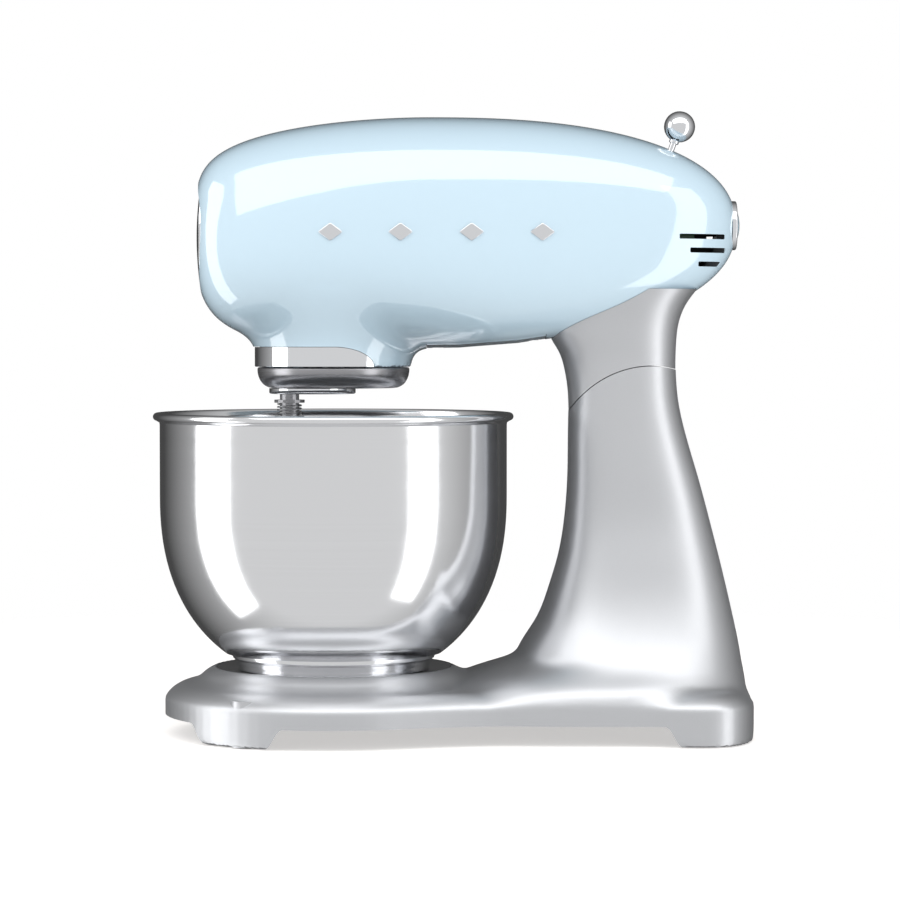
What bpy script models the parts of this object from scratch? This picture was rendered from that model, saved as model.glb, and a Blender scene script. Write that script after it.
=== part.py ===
"""Tilt-head stand mixer, modelled as the separate pieces it is made of.

The frame has +Z up, -X to the front (the bowl end) and the origin on the table under the middle of
the machine. All sizes in this file are millimetres, and to_metres() turns them into Blender's metres.

The stand carries the bowl and, on a hinge pin in the top of its column, the tilting head. The head
holds the motor, which turns the planetary hub through a spur pair and a bevel pair. The hub carries
the beater shaft round inside a fixed ring gear.
"""

import math

import bmesh
import bpy
from mathutils import Matrix, Vector

# Whole machine
GAP = 0.3                     # clearance between pieces that touch or cut one another
REAR_X = 182.6                # back edge of the foot
BOWL_X = -72.1                # axis of the bowl, the hub ring and the planetary hub

# Bowl
BOWL_RIM_R = 110.5
BOWL_RIM_TUBE_R = 2.4
BOWL_RIM_Z = 194.2
BOWL_WALL_R = 106.4
BOWL_WALL_BOTTOM_Z = 146.0
BOWL_CURVE_HEIGHT = 115.5
BOWL_CURVE_POWER = 2.3
BOWL_THICKNESS = 1.2
BOWL_FLOOR_Z = 46.0
BOWL_FOOT_R = 62.0
SEAT_R = 72.4
SEAT_TOP_Z = 41.0
SEAT_FLOOR_Z = 39.3

# Stand
FRONT_R = 103.4               # front of the foot, a circle about the bowl's axis
PLATE_TOP_Z = 31.5
ARCH_Z = 12.5                 # height of the arches between the feet
CASTING_BOTTOM_Z = 0.6
WALL = 4.5
COLUMN_POWER = 2.8
# height, front edge, rear edge and half-width of the column
COLUMN_STATIONS = (
    (24.0, -12.0, 181.0, 83.0),
    (33.0, 0.0, 180.0, 79.0),
    (40.5, 20.0, 178.8, 72.0),
    (44.5, 32.4, 178.0, 68.5),
    (53.0, 42.1, 176.6, 63.0),
    (69.0, 52.0, 173.4, 55.5),
    (88.5, 59.8, 169.0, 49.0),
    (108.0, 65.6, 164.3, 44.5),
    (131.5, 69.6, 158.3, 40.0),
    (157.0, 71.5, 151.4, 37.3),
    (186.0, 71.9, 143.0, 35.0),
    (205.0, 72.3, 139.0, 34.0),
    (232.0, 72.5, 137.4, 33.0),
)
FOOT_PADS = {
    "foot_pad_front_left": (-121.0, 79.0),
    "foot_pad_front_right": (-121.0, -79.0),
    "foot_pad_rear_left": (160.0, 62.0),
    "foot_pad_rear_right": (160.0, -62.0),
}
PAD_R = 8.2
GLAND_BACK_X = 174.4
GLAND_Z = 56.0
PAD_BOSS_R = 9.8
# place of each bottom plate screw and the top of its boss
PLATE_SCREWS = ((-100.0, 30.0, 34.0), (-100.0, -30.0, 34.0), (100.0, 64.0, 43.0), (100.0, -64.0, 43.0))

# Tilt hinge
PIVOT_X = 121.35
PIVOT_Z = 166.9
DOME_R = 58.2
PARTING_GAP = 0.5
TONGUE_HALF = 8.5
STUD_X = 91.6
STUD_Z = 196.6
STUD_R = 3.0
# height, front edge, rear edge and half-width of the neck
NECK_STATIONS = (
    (192.0, 72.2, 137.4, 33.4),
    (212.0, 71.5, 137.4, 33.0),
    (223.5, 69.6, 137.4, 32.8),
    (235.0, 65.6, 137.6, 33.0),
    (242.0, 61.5, 138.0, 33.6),
    (250.0, 60.0, 139.0, 34.2),
    (257.0, 60.0, 141.0, 35.0),
    (264.0, 60.0, 144.5, 36.0),
    (272.0, 60.0, 150.5, 37.0),
)

# Head
HEAD_X = -14.4                # where the head is tallest
HEAD_Z = 309.8
HEAD_FRONT = 141.5
HEAD_REAR = 188.8
HEAD_UP = 67.1
HEAD_DOWN = 73.9
HEAD_HALF_WIDTH = 62.0
HEAD_SECTION_POWER = 2.5
HEAD_WALL = 3.0
# powers of the outline along and across the head, in each quarter of the side view
OUTLINE_POWERS = {
    "front_top": (1.79, 4.31),
    "front_bottom": (4.03, 4.00),
    "rear_top": (2.44, 2.33),
    "rear_bottom": (1.90, 2.27),
}
NOSE_X = -155.0
TAIL_X = 173.4
CAP_Z = 303.0
CAP_R = 36.0
CAP_BACK_X = -149.7
BUTTON_Z = 311.0
BUTTON_R = 11.2
HUB_R = 47.5
HUB_BOTTOM_Z = 224.7
BAND_TOP_Z = 237.0
RING_GEAR_R = 43.6

# Speed lever
LEVER_PIVOT = (119.4, 315.0)
KNOB = (139.9, 371.4)
KNOB_R = 9.5

# Gear train
SHAFT_Z = 288.0               # layshaft
MOTOR_Z = 318.0
PRESSURE_ANGLE = math.radians(25)
ADDENDUM = 0.8
DEDENDUM = 1.05
BACKLASH = 0.24
PLANET_MODULE = 1.5
PLANET_TEETH = 12
RING_TEETH = 48
PLANET_OFFSET = 27.0
SPRING_R = 7.1
BEVEL_MODULE = 1.6
BEVEL_PINION_TEETH = 12
CROWN_TEETH = 48
CROWN_R = BEVEL_MODULE * CROWN_TEETH / 2
BEVEL_INNER = 0.8             # inner end of the bevel teeth, as a part of the way from the cone's tip
SPUR_MODULE = 1.0
SPUR_PINION_TEETH = 10
SPUR_GEAR_TEETH = 50

# Latch
LATCH_PIVOT = (104.0, 248.0)
LATCH_TOP = (145.2, 311.0)

# Colour, metallic value and roughness of each finish
FINISHES = {
    "silver_paint": ((0.55, 0.56, 0.58), 0.6, 0.38),
    "blue_enamel": ((0.64, 0.80, 0.91), 0.0, 0.12),
    "polished_steel": ((0.80, 0.81, 0.83), 1.0, 0.08),
    "dark_satin": ((0.13, 0.13, 0.14), 0.9, 0.35),
    "steel": ((0.55, 0.55, 0.56), 1.0, 0.3),
    "brass": ((0.72, 0.55, 0.25), 1.0, 0.3),
    "copper": ((0.72, 0.36, 0.20), 1.0, 0.35),
    "rubber": ((0.05, 0.05, 0.05), 0.0, 0.8),
    "plastic": ((0.10, 0.10, 0.11), 0.0, 0.5),
    "circuit": ((0.05, 0.25, 0.12), 0.0, 0.5),
}

ALONG_X = (0.0, math.pi / 2, 0.0)        # turns local +Z to +X and local +X to -Z
ALONG_Y = (math.pi / 2, 0.0, 0.0)        # turns local +Y to +Z and local +Z to -Y
UPRIGHT = (0.0, 0.0, 0.0)
# castings with so many cuts that the exact solver leaves slivers open
LONG_CHAINS = ("stand_casting", "head_housing")


# Tools ------------------------------------------------------------------------------------------

def to_metres(*values):
    """Turn millimetres into a vector in metres."""
    return Vector(values) * 0.001


def make_collection(name):
    """Add a collection to the scene."""
    group = bpy.data.collections.new(name)
    bpy.context.scene.collection.children.link(group)
    return group


def make_material(name):
    """Make the Principled material of one finish."""
    colour, metallic, roughness = FINISHES[name]
    material = bpy.data.materials.new(name)
    material.use_nodes = True
    shader = material.node_tree.nodes["Principled BSDF"]
    shader.inputs["Base Color"].default_value = (*colour, 1.0)
    shader.inputs["Metallic"].default_value = metallic
    shader.inputs["Roughness"].default_value = roughness
    material.diffuse_color = (*colour, 1.0)
    return material


def add_object(name, mesh, finish, at=(0, 0, 0), turn=UPRIGHT):
    """Put a mesh in the scene: a part if it has a finish, else a cutter."""
    obj = bpy.data.objects.new(name, mesh)
    obj.location = to_metres(*at)
    obj.rotation_euler = turn
    if finish is None:
        CUTTERS.objects.link(obj)
        obj.hide_render = True
        obj.display_type = "WIRE"
    else:
        PARTS.objects.link(obj)
        mesh.materials.append(MATERIALS[finish])
        mesh.shade_smooth()
        mesh.set_sharp_from_angle(angle=math.radians(35))
    return obj


def turned(name, finish, profile, at=(0, 0, 0), turn=UPRIGHT, steps=32, closed=False):
    """A turned piece: (radius, height) points, down its outer side, spun about local Z."""
    mesh = bpy.data.meshes.new(name)
    points = [to_metres(radius, 0, height) for radius, height in profile]
    edges = [(i, i + 1) for i in range(len(points) - 1)]
    if closed:
        edges.append((len(points) - 1, 0))
    mesh.from_pydata(points, edges, [])
    obj = add_object(name, mesh, finish, at, turn)
    screw = obj.modifiers.new("Turn", "SCREW")
    screw.axis = "Z"
    screw.steps = steps
    screw.render_steps = steps
    screw.use_merge_vertices = True
    screw.merge_threshold = 0.00001
    return obj


def cylinder(name, finish, radius, start, length, turn=UPRIGHT, steps=24):
    """A plain cylinder from its start point, along its turned local Z."""
    profile = [(0, length), (radius, length), (radius, 0), (0, 0)]
    return turned(name, finish, profile, start, turn, steps)


def tube(name, finish, outer, inner, start, length, turn=UPRIGHT, steps=24):
    """A ring or sleeve from its start point, along its turned local Z."""
    profile = [(inner, length), (outer, length), (outer, 0), (inner, 0)]
    return turned(name, finish, profile, start, turn, steps, closed=True)


def slab(name, finish, outlines, thickness, at=(0, 0, 0), turn=UPRIGHT):
    """A flat piece: closed outlines in its local XY plane, given thickness both ways from it."""
    curve = bpy.data.curves.new(name + "_outline", "CURVE")
    curve.dimensions = "2D"
    curve.fill_mode = "BOTH"
    curve.extrude = thickness / 2 * 0.001
    for outline in outlines:
        spline = curve.splines.new("POLY")
        spline.points.add(len(outline) - 1)
        for point, (x, y) in zip(spline.points, outline):
            point.co = (*to_metres(x, y, 0), 1.0)
        spline.use_cyclic_u = True
    guide = bpy.data.objects.new(name + "_outline", curve)
    bpy.context.scene.collection.objects.link(guide)
    graph = bpy.context.evaluated_depsgraph_get()
    mesh = bpy.data.meshes.new_from_object(guide.evaluated_get(graph))
    mesh.name = name
    bpy.data.objects.remove(guide)
    merge_doubles(mesh)
    return add_object(name, mesh, finish, at, turn)


def merge_doubles(mesh):
    """Weld the loose caps of a mesh that was made from a curve, faces pointing out."""
    work = bmesh.new()
    work.from_mesh(mesh)
    bmesh.ops.remove_doubles(work, verts=work.verts, dist=0.000001)
    bmesh.ops.recalc_face_normals(work, faces=work.faces)
    work.to_mesh(mesh)
    work.free()


def box(name, finish, low, high, bevel=0.0):
    """A box between two corners, with rounded edges if a bevel is given."""
    size = [b - a for a, b in zip(low, high)]
    middle = [(a + b) / 2 for a, b in zip(low, high)]
    work = bmesh.new()
    bmesh.ops.create_cube(work, size=1.0)
    bmesh.ops.scale(work, vec=to_metres(*size), verts=work.verts)
    mesh = bpy.data.meshes.new(name)
    work.to_mesh(mesh)
    work.free()
    obj = add_object(name, mesh, finish, middle)
    if bevel:
        rounding = obj.modifiers.new("Rounding", "BEVEL")
        rounding.width = bevel * 0.001
        rounding.segments = 1
    return obj


def loft(name, finish, rings):
    """A closed skin through rings of points that run the same way round, with flat ends."""
    count = len(rings[0])
    points = [to_metres(*point) for ring in rings for point in ring]
    faces = [list(range(count)), list(range((len(rings) - 1) * count, len(rings) * count))]
    for i in range(len(rings) - 1):
        for j in range(count):
            k = (j + 1) % count
            faces.append([i * count + j, i * count + k, (i + 1) * count + k, (i + 1) * count + j])
    mesh = bpy.data.meshes.new(name)
    mesh.from_pydata(points, [], faces)
    merge_doubles(mesh)
    return add_object(name, mesh, finish)


def combine(obj, operation, *others):
    """Join, cut or trim an object by others, which stay behind as guides."""
    for other in others:
        modifier = obj.modifiers.new(operation.title(), "BOOLEAN")
        modifier.operation = operation
        modifier.object = other
        modifier.solver = "MANIFOLD" if obj.name in LONG_CHAINS else "EXACT"
    return obj


def cut(obj, *cutters):
    """Cut the cutters' shapes out of an object."""
    return combine(obj, "DIFFERENCE", *cutters)


def join(obj, *others):
    """Join the others' shapes to an object."""
    return combine(obj, "UNION", *others)


def trim(obj, *guides):
    """Keep only what lies inside the guides' shapes."""
    return combine(obj, "INTERSECT", *guides)


def hang_on_axis(name, at, pieces):
    """Parent moving pieces to an empty that stands on their joint's axis."""
    axis = bpy.data.objects.new(name, None)
    axis.location = to_metres(*at)
    axis.empty_display_size = 0.02
    PARTS.objects.link(axis)
    for piece in pieces:
        piece.parent = axis
        piece.matrix_parent_inverse = Matrix.Translation(-axis.location)
    return axis


# Curves -----------------------------------------------------------------------------------------

def power(value, exponent):
    """Raise a value to a power and keep its sign."""
    return math.copysign(abs(value) ** exponent, value)


def superellipse(x, y, half_x, half_y, exponent, count):
    """Points round a superellipse, anticlockwise from +X."""
    points = []
    for i in range(count):
        angle = 2 * math.pi * i / count
        points.append((x + half_x * power(math.cos(angle), 2 / exponent),
                       y + half_y * power(math.sin(angle), 2 / exponent)))
    return points


def circle(x, y, radius, count):
    """Points round a circle, anticlockwise from +X."""
    return superellipse(x, y, radius, radius, 2, count)


def arc(x, y, radius, first, last, count):
    """Points along an arc between two angles in degrees."""
    points = []
    for i in range(count + 1):
        angle = math.radians(first + (last - first) * i / count)
        points.append((x + radius * math.cos(angle), y + radius * math.sin(angle)))
    return points


def bezier(start, pull_start, pull_end, end, count):
    """Points along a cubic curve, its last point left out."""
    points = []
    for i in range(count):
        t = i / count
        weights = ((1 - t) ** 3, 3 * t * (1 - t) ** 2, 3 * t * t * (1 - t), t ** 3)
        corners = (start, pull_start, pull_end, end)
        points.append(tuple(sum(w * c[k] for w, c in zip(weights, corners)) for k in (0, 1)))
    return points


def foot_outline(inset=0.0):
    """The foot in plan: round front, narrow waist, squarer back."""
    side = arc(BOWL_X, 0, FRONT_R, 180, 70, 9)
    side += bezier(side.pop(), (12.0, 79.5), (62.0, 68.0), (134.0, 85.5), 6)
    side += bezier((134.0, 85.5), (160.0, 91.8), (180.5, 84.0), (REAR_X, 42.0), 6)
    side += [(REAR_X, 42.0), (REAR_X, 14.0)]
    outline = side + [(x, -y) for x, y in reversed(side[1:])]
    moved = []
    for i, (x, y) in enumerate(outline):
        before = Vector(outline[i - 1])
        after = Vector(outline[(i + 1) % len(outline)])
        along = (after - before).normalized()
        moved.append((x + along.y * inset, y - along.x * inset))
    return moved


def column_ring(station, shrink=0.0, count=24):
    """One level section of the column or the neck, made smaller all round by shrink."""
    height, front, rear, half_width = station
    section = superellipse((front + rear) / 2, 0, (rear - front) / 2 - shrink,
                           half_width - shrink, COLUMN_POWER, count)
    return [(x, y, height) for x, y in section]


def blend_step(value):
    """Smooth step from 0 to 1 as a value goes from -0.5 to 0.5."""
    t = min(1.0, max(0.0, value + 0.5))
    return t * t * (3 - 2 * t)


def head_ring(x, grow=0.0, shorten_front=0.0, shorten_rear=0.0, count=24):
    """One upright section of the head at x; grow moves its whole skin outwards."""
    forward = x < HEAD_X
    reach = (HEAD_FRONT - shorten_front if forward else HEAD_REAR - shorten_rear) + grow
    along = abs(x - HEAD_X) / reach
    top = OUTLINE_POWERS["front_top" if forward else "rear_top"]
    bottom = OUTLINE_POWERS["front_bottom" if forward else "rear_bottom"]
    ring = []
    for i in range(count):
        angle = 2 * math.pi * i / count
        side = power(math.cos(angle), 2 / HEAD_SECTION_POWER)
        up = power(math.sin(angle), 2 / HEAD_SECTION_POWER)
        mix = blend_step(up)
        p = bottom[0] + (top[0] - bottom[0]) * mix
        q = bottom[1] + (top[1] - bottom[1]) * mix
        size = max(0.0, 1 - along ** p) ** (1 / q)
        half_height = (HEAD_UP if up > 0 else HEAD_DOWN) + grow
        ring.append((x, (HEAD_HALF_WIDTH + grow) * side * size, HEAD_Z + half_height * up * size))
    return ring


def head_form(name, finish, grow=0.0, shorten_front=0.0, shorten_rear=0.0, stations=15):
    """The head's whole form as one closed skin."""
    nose = NOSE_X + shorten_front - grow
    tail = TAIL_X - shorten_rear + grow
    first = math.asin((nose - HEAD_X) / (HEAD_FRONT - shorten_front + grow))
    last = math.asin((tail - HEAD_X) / (HEAD_REAR - shorten_rear + grow))
    rings = []
    for i in range(stations + 1):
        along = math.sin(first + (last - first) * i / stations)
        reach = (HEAD_FRONT - shorten_front if along < 0 else HEAD_REAR - shorten_rear) + grow
        rings.append(head_ring(HEAD_X + along * reach, grow, shorten_front, shorten_rear))
    return loft(name, finish, rings)


# Gear teeth -------------------------------------------------------------------------------------

def involute(angle):
    """The involute of a pressure angle."""
    return math.tan(angle) - angle


def tooth_outline(teeth, module, radii, play, phase):
    """Outline of a toothed wheel, each tooth widened by play at the pitch circle."""
    pitch = teeth * module / 2
    base = pitch * math.cos(PRESSURE_ANGLE)
    outline = []
    for tooth in range(teeth):
        middle = 2 * math.pi * (tooth + phase) / teeth
        for side, order in ((-1, radii), (1, list(reversed(radii)))):
            for radius in order:
                lean = involute(PRESSURE_ANGLE) - involute(math.acos(min(1.0, base / radius)))
                half = math.pi / (2 * teeth) + play / (2 * pitch) + lean
                angle = middle + side * half
                outline.append((radius * math.cos(angle), radius * math.sin(angle)))
    return outline


def gear_outline(teeth, module, phase=0.0, levels=3):
    """Outline of an outside gear. A tooth is centred on local +X when phase is 0."""
    pitch = teeth * module / 2
    root = pitch - DEDENDUM * module
    tip = pitch + ADDENDUM * module
    radii = [root + (tip - root) * i / (levels - 1) for i in range(levels)]
    return tooth_outline(teeth, module, radii, -BACKLASH, phase)


def ring_gear_outline(teeth, module):
    """Outline of the hole in an inside gear. A space is centred on local +X."""
    pitch = teeth * module / 2
    radii = [pitch - ADDENDUM * module, pitch + DEDENDUM * module]
    return tooth_outline(teeth, module, radii, BACKLASH, 0.0)


# Stand ------------------------------------------------------------------------------------------

def arch_outline(first, last):
    """Side view of an arch between two feet, each end an S-curve from the foot's sole to the top."""
    rise = [(-1.0, 0.4), (4.5, 0.4), (5.5, ARCH_Z), (11.0, ARCH_Z)]
    near = bezier(*rise, 5) + [rise[-1]]
    outline = [(first - 1, -5)] + [(first + x, z) for x, z in near]
    outline += [(last - x, z) for x, z in reversed(near)] + [(last + 1, -5)]
    return outline


def foot_block():
    """The outside of the foot, before its arches are cut."""
    levels = ((1.2, CASTING_BOTTOM_Z), (0.2, 9.0), (0.0, 22.5), (0.9, 25.3), (3.6, 28.0),
              (15.0, PLATE_TOP_Z))
    rings = [[(x, y, z) for x, y in foot_outline(inset)] for inset, z in levels]
    return loft("stand_casting", "silver_paint", rings)


def dome_room(name, radius, finish=None, half_width=60.0):
    """The room under the round top of the column, down to the pivot's level and below."""
    outline = arc(PIVOT_X, PIVOT_Z, radius, 180, 0, 24)
    outline += [(PIVOT_X + radius + 60, PIVOT_Z - 60), (PIVOT_X + radius + 60, -20),
                (PIVOT_X - radius - 200, -20), (PIVOT_X - radius - 200, PIVOT_Z - 60)]
    return slab(name, finish, [outline], 2 * half_width, turn=ALONG_Y)


def stand_casting():
    """The foot, pedestal and column, cast as one hollow piece."""
    casting = foot_block()
    pedestal = turned("pedestal", None, [
        (0, SEAT_TOP_Z), (73.6, SEAT_TOP_Z), (78, 38.6), (83, 34.6), (92, 30.5), (92, 24), (0, 24)],
        at=(BOWL_X, 0, 0), steps=36)
    column = loft("column_form", None, [column_ring(station) for station in COLUMN_STATIONS])
    trim(column, dome_room("column_top", DOME_R, half_width=110.0))
    join(casting, pedestal, column)

    hollow = loft("foot_hollow", None, [[(x, y, z) for x, y in foot_outline(WALL + 1.0)]
                                        for z in (-2.0, 26.5)])
    under_bowl = cylinder("pedestal_hollow", None, 66.0, (BOWL_X, 0, 20), 12.0, steps=24)
    inside = loft("column_hollow", None, [column_ring(station, WALL, 16) for station in COLUMN_STATIONS[::2]])
    trim(inside, dome_room("column_hollow_top", DOME_R - WALL, half_width=110.0))
    seat_recess = cylinder("seat_recess", None, SEAT_R + GAP, (BOWL_X, 0, 36.2), 10, steps=36)
    side_arch = slab("side_arch", None, [arch_outline(-109.5, 137.0)], 300, turn=ALONG_Y)
    front_arch, rear_arch = (
        slab(name, None, [arch_outline(-half, half)], 200, at=(middle, 0, 0),
             turn=(math.pi / 2, 0, math.pi / 2))
        for name, half, middle in (("front_arch", 71.0, -99.5), ("rear_arch", 57.0, 99.0)))
    tongue_slot = slab("tongue_slot", None, [
        arc(PIVOT_X, PIVOT_Z, DOME_R + 6, 90 + 38, 90 - 14, 6)
        + arc(PIVOT_X, PIVOT_Z, DOME_R - 12, 90 - 14, 90 + 38, 6)], 32, turn=ALONG_Y)
    cut(casting, hollow, under_bowl, inside, seat_recess, side_arch, front_arch, rear_arch, tongue_slot)

    for name, (x, y) in FOOT_PADS.items():
        join(casting, cylinder(name + "_boss", None, PAD_BOSS_R, (x, y, CASTING_BOTTOM_Z), 27.0, steps=16))
        cut(casting, cylinder(name + "_pocket", None, PAD_R + GAP, (x, y, -2), 7.3, steps=16))
    for number, (x, y, top) in enumerate(PLATE_SCREWS, 1):
        join(casting, cylinder(f"screw_boss_{number}", None, 5.0, (x, y, 17.3), top - 17.3, steps=10))
        cut(casting, cylinder(f"screw_bore_{number}", None, 1.9, (x, y, 10), 15.5, steps=8))
    for number, (x, y) in enumerate(seat_screw_places(), 1):
        cut(casting, cylinder(f"seat_bore_{number}", None, 1.9, (x, y, 20), 20, steps=8))
    join(casting, cylinder("cable_boss", None, 12.5, (163, 0, GLAND_Z), 10, ALONG_X, steps=20))
    cut(casting, cylinder("cable_bore", None, 7.0 + GAP, (158, 0, GLAND_Z), 40, ALONG_X, steps=16),
        cylinder("cable_recess", None, 9.4 + GAP, (GLAND_BACK_X - 2.2 - GAP, 0, GLAND_Z), 20, ALONG_X, steps=20))
    return casting


def screw(name, at, head_r, head_length, shank_r, length, turn=UPRIGHT):
    """A round-headed screw, its head's flat side at the start and its shank along local Z."""
    profile = [(0, length), (shank_r, length), (shank_r, head_length), (head_r, head_length),
               (head_r, 0.8), (head_r - 0.8, 0), (0, 0)]
    return turned(name, "steel", profile, at, turn, steps=8)


def bottom_plate():
    """The plate that closes the underside, with its four screws."""
    rings = [[(x, y, z) for x, y in foot_outline(WALL + 1.4)] for z in (15.0, 17.0)]
    plate = loft("bottom_plate", "plastic", rings)
    for name, (x, y) in FOOT_PADS.items():
        cut(plate, cylinder(name + "_notch", None, PAD_BOSS_R + GAP, (x, y, 10), 12, steps=16))
    for number, (x, y, _) in enumerate(PLATE_SCREWS, 1):
        cut(plate, cylinder(f"plate_hole_{number}", None, 2.0, (x, y, 10), 12, steps=8))
        screw(f"bottom_plate_screw_{number}", (x, y, 12.2), 3.6, 2.5, 1.6, 12)


def foot_pads():
    """Four rubber pads, pressed up into the feet."""
    for name, (x, y) in FOOT_PADS.items():
        turned(name, "rubber", [(0, 5), (PAD_R, 5), (PAD_R, 1), (PAD_R - 1, 0), (0, 0)],
               at=(x, y, 0), steps=16)


def seat_screw_places():
    """The three screws of the bowl seat, inside the bowl's foot ring."""
    places = []
    for i in range(3):
        angle = math.radians(60 + 120 * i)
        places.append((BOWL_X + 45 * math.cos(angle), 45 * math.sin(angle)))
    return places


def bowl_seat():
    """The polished dish that the bowl stands in, with its three screws."""
    seat = turned("bowl_seat", "polished_steel", [
        (0, SEAT_FLOOR_Z), (61.5, SEAT_FLOOR_Z), (63.5, SEAT_FLOOR_Z + 0.3), (70.4, SEAT_TOP_Z - 0.2),
        (71.6, SEAT_TOP_Z), (SEAT_R, SEAT_TOP_Z - 0.6), (SEAT_R, 36.5), (0, 36.5)],
        at=(BOWL_X, 0, 0), steps=36)
    for number, (x, y) in enumerate(seat_screw_places(), 1):
        cut(seat, cylinder(f"seat_hole_{number}", None, 2.0, (x, y, 30), 15, steps=8))
        turned(f"bowl_seat_screw_{number}", "steel", [
            (0, 42.2), (3.4, 41.8), (4.4, 40.8), (4.4, SEAT_FLOOR_Z + GAP), (1.6, SEAT_FLOOR_Z + GAP),
            (1.6, 29), (0, 29)], at=(x, y, 0), steps=8)


def cable_gland():
    """The empty rubber inlet, sunk into the back of the column low down."""
    flange = GLAND_BACK_X - 2.2
    turned("cable_gland", "rubber", [(3.6, GLAND_BACK_X), (8.6, GLAND_BACK_X), (9.4, GLAND_BACK_X - 0.8),
                                     (9.4, flange), (7, flange), (7, 160.5), (3.6, 160.5)],
           at=(0, 0, GLAND_Z), turn=ALONG_X, steps=20, closed=True)


def hinge_fork():
    """The fork in the top of the column, with two ears on the pin and the catch stud's arm."""
    arm = [(STUD_X - 5, STUD_Z + 4), (STUD_X + 3, STUD_Z + 6)]
    ear = arc(PIVOT_X, PIVOT_Z, 12, 60, -20, 6) + [(PIVOT_X + 12, 140), (PIVOT_X - 14, 140),
                                                   (PIVOT_X - 14, 160), (STUD_X - 6, STUD_Z - 3)] + arm
    fork = slab("hinge_fork", "steel", [ear], 4.5, at=(0, 20.75, 0), turn=ALONG_Y)
    other_ear = slab("other_ear", None, [ear], 4.5, at=(0, -20.75, 0), turn=ALONG_Y)
    bridge = box("fork_bridge", None, (PIVOT_X - 12, -21, 141), (PIVOT_X + 10, 21, 146))
    join(fork, other_ear, bridge)
    cut(fork, cylinder("pin_bore", None, 4.0 + GAP, (PIVOT_X, 40, PIVOT_Z), 80, ALONG_Y, 20),
        cylinder("stud_bore", None, STUD_R - 0.7 + GAP, (STUD_X, 26, STUD_Z), 8, ALONG_Y, 12))
    turned("hinge_pin", "steel", [(0, 51), (3.2, 51), (4, 50.2), (4, 1), (6.2, 1), (6.2, -1), (0, -1)],
           at=(PIVOT_X, 24.5, PIVOT_Z), turn=ALONG_Y, steps=20)
    turned("latch_catch", "steel", [(0, 14), (STUD_R, 14), (STUD_R, 5.3), (STUD_R - 0.7, 5.3),
                                    (STUD_R - 0.7, 0.5), (0, 0.5)],
           at=(STUD_X, 23.2, STUD_Z), turn=ALONG_Y, steps=16)


# Bowl -------------------------------------------------------------------------------------------

def bowl_wall_radius(height, inset=0.0):
    """Radius of the bowl's rounded lower wall at a height."""
    drop = (BOWL_WALL_BOTTOM_Z - height) / (BOWL_CURVE_HEIGHT - inset)
    return (BOWL_WALL_R - inset) * (1 - drop ** BOWL_CURVE_POWER) ** (1 / BOWL_CURVE_POWER)


def bowl():
    """The bowl: flat floor, rounded wall, rolled rim and foot ring, one sheet of steel."""
    floor_top = BOWL_FLOOR_Z + BOWL_THICKNESS
    heights = [BOWL_WALL_BOTTOM_Z - (BOWL_WALL_BOTTOM_Z - 49.5) * math.sin(math.pi / 2 * i / 6)
               for i in range(7)]
    inner = [(bowl_wall_radius(z, BOWL_THICKNESS), z) for z in reversed(heights)]
    outer = [(bowl_wall_radius(z), z) for z in heights]
    tube_r = BOWL_RIM_R - BOWL_RIM_TUBE_R
    rim = [(tube_r + BOWL_RIM_TUBE_R * math.cos(math.radians(angle)),
            BOWL_RIM_Z + BOWL_RIM_TUBE_R * math.sin(math.radians(angle)))
           for angle in (170, 110, 55, 0, -45, -75)]
    foot = [(BOWL_FOOT_R, 49.0), (BOWL_FOOT_R, 46.6), (61.2, 46.0), (60.6, 45.4), (58.6, SEAT_FLOOR_Z + GAP),
            (56.6, SEAT_FLOOR_Z + GAP), (57.2, BOWL_FLOOR_Z), (0, BOWL_FLOOR_Z)]
    turned("bowl", "polished_steel", [(0, floor_top), (52, floor_top)] + inner + rim + outer + foot,
           at=(BOWL_X, 0, 0), steps=40)


# Neck -------------------------------------------------------------------------------------------

def neck_casting():
    """The hollow casting between the column and the head, with the tongue that the pin goes through."""
    neck = loft("neck_casting", "silver_paint", [column_ring(station) for station in NECK_STATIONS])
    inside = loft("neck_hollow", None, [column_ring(station, 4.0, 20) for station in NECK_STATIONS])
    cut(inside, dome_room("neck_floor", DOME_R + PARTING_GAP + 4.0))
    cut(neck, inside, dome_room("neck_parting", DOME_R + PARTING_GAP),
        head_form("head_seat", None, grow=GAP))
    tongue_edge = arc(PIVOT_X, PIVOT_Z, DOME_R + 2.5, 90 + 35, 90 + 21, 3)
    tongue = slab("tongue", None, [tongue_edge + arc(PIVOT_X, PIVOT_Z, 12.5, 20, -200, 12)],
                  2 * TONGUE_HALF, turn=ALONG_Y)
    join(neck, tongue)
    cut(neck, cylinder("tongue_bore", None, 7.5 + GAP, (PIVOT_X, 12, PIVOT_Z), 24, ALONG_Y, 20),
        box("latch_slot", None, (92, TONGUE_HALF + 0.4, 195), (108, 14.6, 246)),
        cylinder("latch_pin_bore", None, 2.2 + GAP, (LATCH_PIVOT[0], 40, LATCH_PIVOT[1]), 20, ALONG_Y, 12))
    for name, side, turn in (("hinge_bush_left", 1, (-math.pi / 2, 0, 0)),
                             ("hinge_bush_right", -1, ALONG_Y)):
        turned(name, "brass", [(4.3, 10.6), (10.0, 10.6), (10.0, TONGUE_HALF + GAP),
                               (7.5, TONGUE_HALF + GAP), (7.5, 0.3), (4.3, 0.3)],
               at=(PIVOT_X, 0, PIVOT_Z), turn=turn, steps=20, closed=True)


# Head -------------------------------------------------------------------------------------------

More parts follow.
